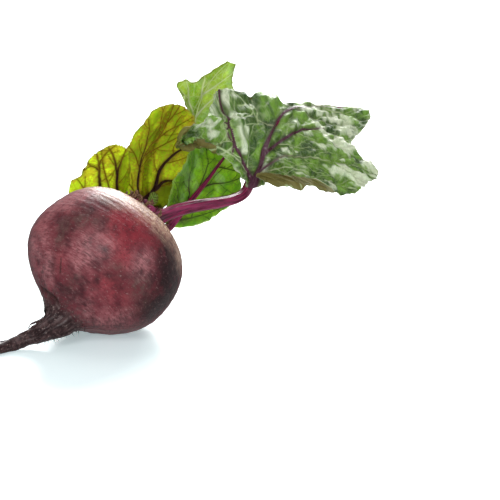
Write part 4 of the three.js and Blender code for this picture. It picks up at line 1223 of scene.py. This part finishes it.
# %% [markdown]
# ### Finish of the leaves
# A leaf is seen by light from both sides. A plain glossy green would look like plastic, so part of the
# surface is a translucent shader, which lets the low sun through. The leaves' colours differ a lot, from old
# yellow ones to a young olive one; all share one recipe, and a table of looks says what is different.
# %% Blades
def blade_paint(name, looks):
    """Leaf green, darker and lighter by turns, with brown mottles, a net of fine veins and dark side veins,
    of which only the thick ones are purple. A pale painted sheen lies on the swells, and on some leaves
    painted shade darkens the lobe at the right of the base. Light from behind shines through: part of the
    surface passes it on, coloured by the leaf."""
    paint = Paint(name)
    flat = paint.field("flat", "Vector")
    gap, width, net, rim, foot, under, crest = (
        paint.field(label) for label in ("gap", "vein", "net", "rim", "foot", "under", "crest"))
    clouds = paint.noise(flat, 9, 4, 0.6)
    mottle = paint.sum(paint.times(paint.noise(flat, 1.2, 4, 0.7), 0.7), paint.times(clouds, 0.3))
    grain = paint.noise(flat, 1.1, 4, 0.65)
    colour = paint.mix(paint.ease(clouds, 0.38, 0.62), looks["deep"], looks["fresh"])
    colour = paint.mix(paint.ease(grain, 0.35, 0.65, 0.25, 0), colour, looks["deep"])
    brown = paint.sum(mottle, paint.times(paint.ease(gap, 0, 6, 1, 0), 0.10))
    colour = paint.mix(paint.ease(brown, 0.54, 0.64, 0, looks["mottled"]), colour, looks["mottle"])
    colour = paint.mix(paint.ease(net, 0.05, 0.35, looks["netted"], 0), colour, looks["net"])
    fine = paint.cells(flat, 1.5)
    colour = paint.mix(paint.ease(fine, 0.02, 0.12, 0.4 * looks["netted"], 0), colour, looks["net"])
    ridges = paint.noise(paint.stretched(flat, 1, 0.4, 1), 3.6, 2, 0.5)
    broad = paint.sum(paint.noise(flat, 16, 2, 0.5), paint.times(ridges, 0.7))
    along, across = paint.add("SeparateXYZ", Vector=flat).outputs[:2]
    # Painted shade: a darker green lobe at the right of the leaf's base, as if that part lay in shade.
    painted_shade_lobe = paint.times(paint.ease(along, 8, 14, looks["painted_shade_lobe"], 0), paint.ease(across, 3, 7))
    colour = paint.mix(painted_shade_lobe, colour, (0.05, 0.07, 0.001))
    # Painted sheen: a pale film of painted highlight, more on the swells and towards the right rim, less
    # towards the left one.
    side = paint.sum(paint.ease(across, -20, 12, -0.42, 0.06), paint.ease(across, 16, 46, 0, 0.3))
    painted_sheen = paint.sum(paint.sum(paint.times(crest, 0.7), side), paint.times(paint.sum(broad, -0.82), 3.4))
    painted_sheen = paint.times(paint.ease(painted_sheen, 0.0, 0.6, 0, looks["painted_sheen"]), paint.ease(grain, 0.3, 0.6, 0.6, 1))
    colour = paint.mix(painted_sheen, colour, (0.78, 0.84, 0.62))
    thick = paint.ease(width, 0.12, 0.4)
    colour = paint.mix(paint.times(paint.ease(gap, 0, 1.8, 0.75, 0), thick), colour, looks["beside"])
    flush = paint.ease(paint.sum(foot, paint.times(grain, 3)), 2, looks["flush"], 0.85, 0)
    flush = paint.times(flush, paint.ease(gap, 0, 3, 1, 0))
    colour = paint.mix(flush, colour, looks["vein"])
    # The rim's tint: brownish on most leaves, and on the large one a pale painted highlight along the rim.
    edge = paint.ease(paint.sum(rim, paint.times(clouds, -2)), -0.6, 0.8, looks["edged"], 0)
    colour = paint.mix(edge, colour, looks["edge"])
    colour = paint.mix(paint.times(under, looks["shown_under"]), colour, looks["under"])
    line = paint.mix(thick, looks["net"], looks["vein"])
    colour = paint.mix(paint.ease(gap, -0.1, 0.25, 1, 0), colour, line)
    paint.bump(paint.sum(paint.ease(fine, 0.0, 0.25), paint.times(grain, 0.5)), 0.16)
    dull = paint.sum(paint.ease(grain, 0.3, 0.7, 0, 0.15), paint.times(under, 0.3))
    paint.finish(colour, paint.sum(dull, looks["gloss"]), Specular_IOR_Level=looks["shine"])
    # Veins let less light through, and so does the net.
    clear = paint.ease(net, 0.0, 0.3, 1 - 0.5 * looks["netted"], 1)
    clear = paint.times(paint.ease(gap, -0.1, 0.5, 0.2, 1), clear)
    glow = paint.add("Gamma", Color=colour, Gamma=looks["glow_gamma"])
    behind = paint.add("BsdfTranslucent", Color=glow.outputs[0])
    both = paint.add("MixShader", Fac=paint.times(clear, looks["glow"]))
    paint.links.new(paint.shader.outputs[0], both.inputs[1])
    paint.links.new(behind.outputs[0], both.inputs[2])
    paint.links.new(both.outputs[0], paint.nodes["Material Output"].inputs["Surface"])
    return paint.material


# Colours: deep and fresh are the greens, mottle the brown spots, net the fine veins, vein the thick ones,
# beside what lies along those, edge the rim (on the large leaf a painted highlight along it) and under the
# underside. Strengths: mottled, netted, edged and shown_under go with them, painted_sheen is a pale painted
# sheen, and painted_shade_lobe a painted shade, darker green at the right of the base. flush is how far
# from the leaf's base, in mm, the veins' colour spreads beside them. gloss is the least roughness and
# shine the specular level. glow is the share of light let through, and glow_gamma makes it paler.
PLAIN_LEAF = {
    "deep": (0.05, 0.13, 0.006), "fresh": (0.13, 0.30, 0.012), "mottle": (0.10, 0.05, 0.01), "mottled": 0.15,
    "net": (0.20, 0.34, 0.06), "netted": 0.4, "beside": (0.04, 0.07, 0.008), "vein": (0.05, 0.008, 0.018),
    "flush": 14, "edge": (0.12, 0.09, 0.01), "edged": 0.6, "under": (0.30, 0.42, 0.16), "shown_under": 0.3,
    "gloss": 0.38, "shine": 0.3, "glow": 0.5, "glow_gamma": 0.5, "painted_sheen": 0.12, "painted_shade_lobe": 0,
}
YELLOW_LEAF = PLAIN_LEAF | {
    "mottle": (0.20, 0.08, 0.004), "mottled": 0.75, "net": (0.17, 0.10, 0.004), "beside": (0.10, 0.06, 0.004),
    "vein": (0.022, 0.006, 0.006), "glow": 0.85, "glow_gamma": 0.4, "shown_under": 0, "shine": 0.08,
    "gloss": 0.5, "flush": 5, "painted_sheen": 0,
}
LOOKS = {
    "left": YELLOW_LEAF | {"deep": (0.20, 0.34, 0.003), "fresh": (0.48, 0.76, 0.005)},
    # The tall leaf has painted shade, darker green, at the right of its base.
    "tall": YELLOW_LEAF | {
        "deep": (0.12, 0.22, 0.002), "fresh": (0.34, 0.52, 0.004), "mottled": 0.8, "painted_shade_lobe": 0.9,
    },
    "upright": PLAIN_LEAF | {
        "deep": (0.16, 0.34, 0.008), "fresh": (0.46, 0.70, 0.05), "mottle": (0.25, 0.18, 0.005),
        "mottled": 0.3, "net": (0.62, 0.74, 0.3), "vein": (0.55, 0.62, 0.35), "beside": (0.35, 0.5, 0.1),
        "flush": 3, "shine": 0.2, "glow": 0.6,
    },
    "turned": PLAIN_LEAF | {
        "deep": (0.09, 0.28, 0.002), "fresh": (0.28, 0.60, 0.004), "mottled": 0.35,
        "net": (0.05, 0.09, 0.01), "netted": 0.5, "edge": (0.45, 0.6, 0.15), "shown_under": 0.1,
        "flush": 20, "shine": 0.12, "glow": 0.6,
    },
    # The large leaf's pale edge is a painted highlight, and its strong pale film is painted sheen.
    "large": PLAIN_LEAF | {
        "deep": (0.025, 0.08, 0.008), "fresh": (0.20, 0.42, 0.03), "net": (0.42, 0.52, 0.25), "netted": 0.3,
        "vein": (0.07, 0.012, 0.03), "beside": (0.045, 0.04, 0.025), "edge": (0.45, 0.5, 0.3), "edged": 0.5,
        "under": (0.16, 0.12, 0.014), "shown_under": 0.85, "flush": 16, "gloss": 0.32, "shine": 0.6,
        "glow": 0.22, "painted_sheen": 0.9,
    },
    "back_left": PLAIN_LEAF,
    "back": PLAIN_LEAF,
    "heart": PLAIN_LEAF | {
        "deep": (0.06, 0.05, 0.004), "fresh": (0.12, 0.14, 0.006), "flush": 3, "shine": 0.1,
    },
}
for leaf_name, looks in LOOKS.items():
    leaf_pieces[leaf_name].data.materials.append(blade_paint(leaf_name + " leaf green", looks))
print("painted blades:", len(LOOKS))


# %% Stalks
def stalk_paint(name, dark, bright, pale):
    """Glossy magenta-purple, streaked along its length, with paler blotches."""
    paint = Paint(name)
    place = paint.field("streak", "Vector")
    streaks = paint.noise(paint.stretched(place, 1, 1, 0.05), 0.7, 4, 0.6)
    blotches = paint.noise(paint.stretched(place, 1, 1, 0.3), 4, 3, 0.5)
    colour = paint.mix(paint.ease(streaks, 0.35, 0.65), dark, bright)
    colour = paint.mix(paint.ease(blotches, 0.5, 0.75, 0, 0.5), colour, pale)
    paint.bump(streaks, 0.15)
    return paint.finish(colour, 0.28, Specular_IOR_Level=0.28)


purple = stalk_paint("purple stalk", (0.04, 0.003, 0.014), (0.22, 0.010, 0.06), (0.36, 0.05, 0.14))
stubs.data.materials.append(purple)
for leaf_name in LEAVES:
    leaf_pieces[leaf_name + "_stalk"].data.materials.append(purple)
print("painted stalks")

# %% [markdown]
# ## Floor
# The beetroot lies on one pale sheet, wide enough that its edge is out of view. The floor glows a little,
# as a white table under bright lamps seems to, so that it stays nearly white beside the dark root.
# %% Floor
floor_data = bpy.data.meshes.new("floor")
edge = 4000 * MM
corners = [(-edge, -edge, 0), (edge, -edge, 0), (edge, edge, 0), (-edge, edge, 0)]
floor_data.from_pydata(corners, [], [(0, 1, 2, 3)])
floor = bpy.data.objects.new("floor", floor_data)
bpy.context.scene.collection.objects.link(floor)
floor_paint = bpy.data.materials.new("pale floor")
floor_paint.use_nodes = True
plain = floor_paint.node_tree.nodes["Principled BSDF"].inputs
plain["Base Color"].default_value = (0.72, 0.79, 0.8, 1)
plain["Roughness"].default_value = 0.4
plain["Emission Color"].default_value = (0.80, 0.97, 1, 1)
plain["Emission Strength"].default_value = 0.4
floor.data.materials.append(floor_paint)
floor.visible_glossy = False  # so that the dark skin does not mirror it
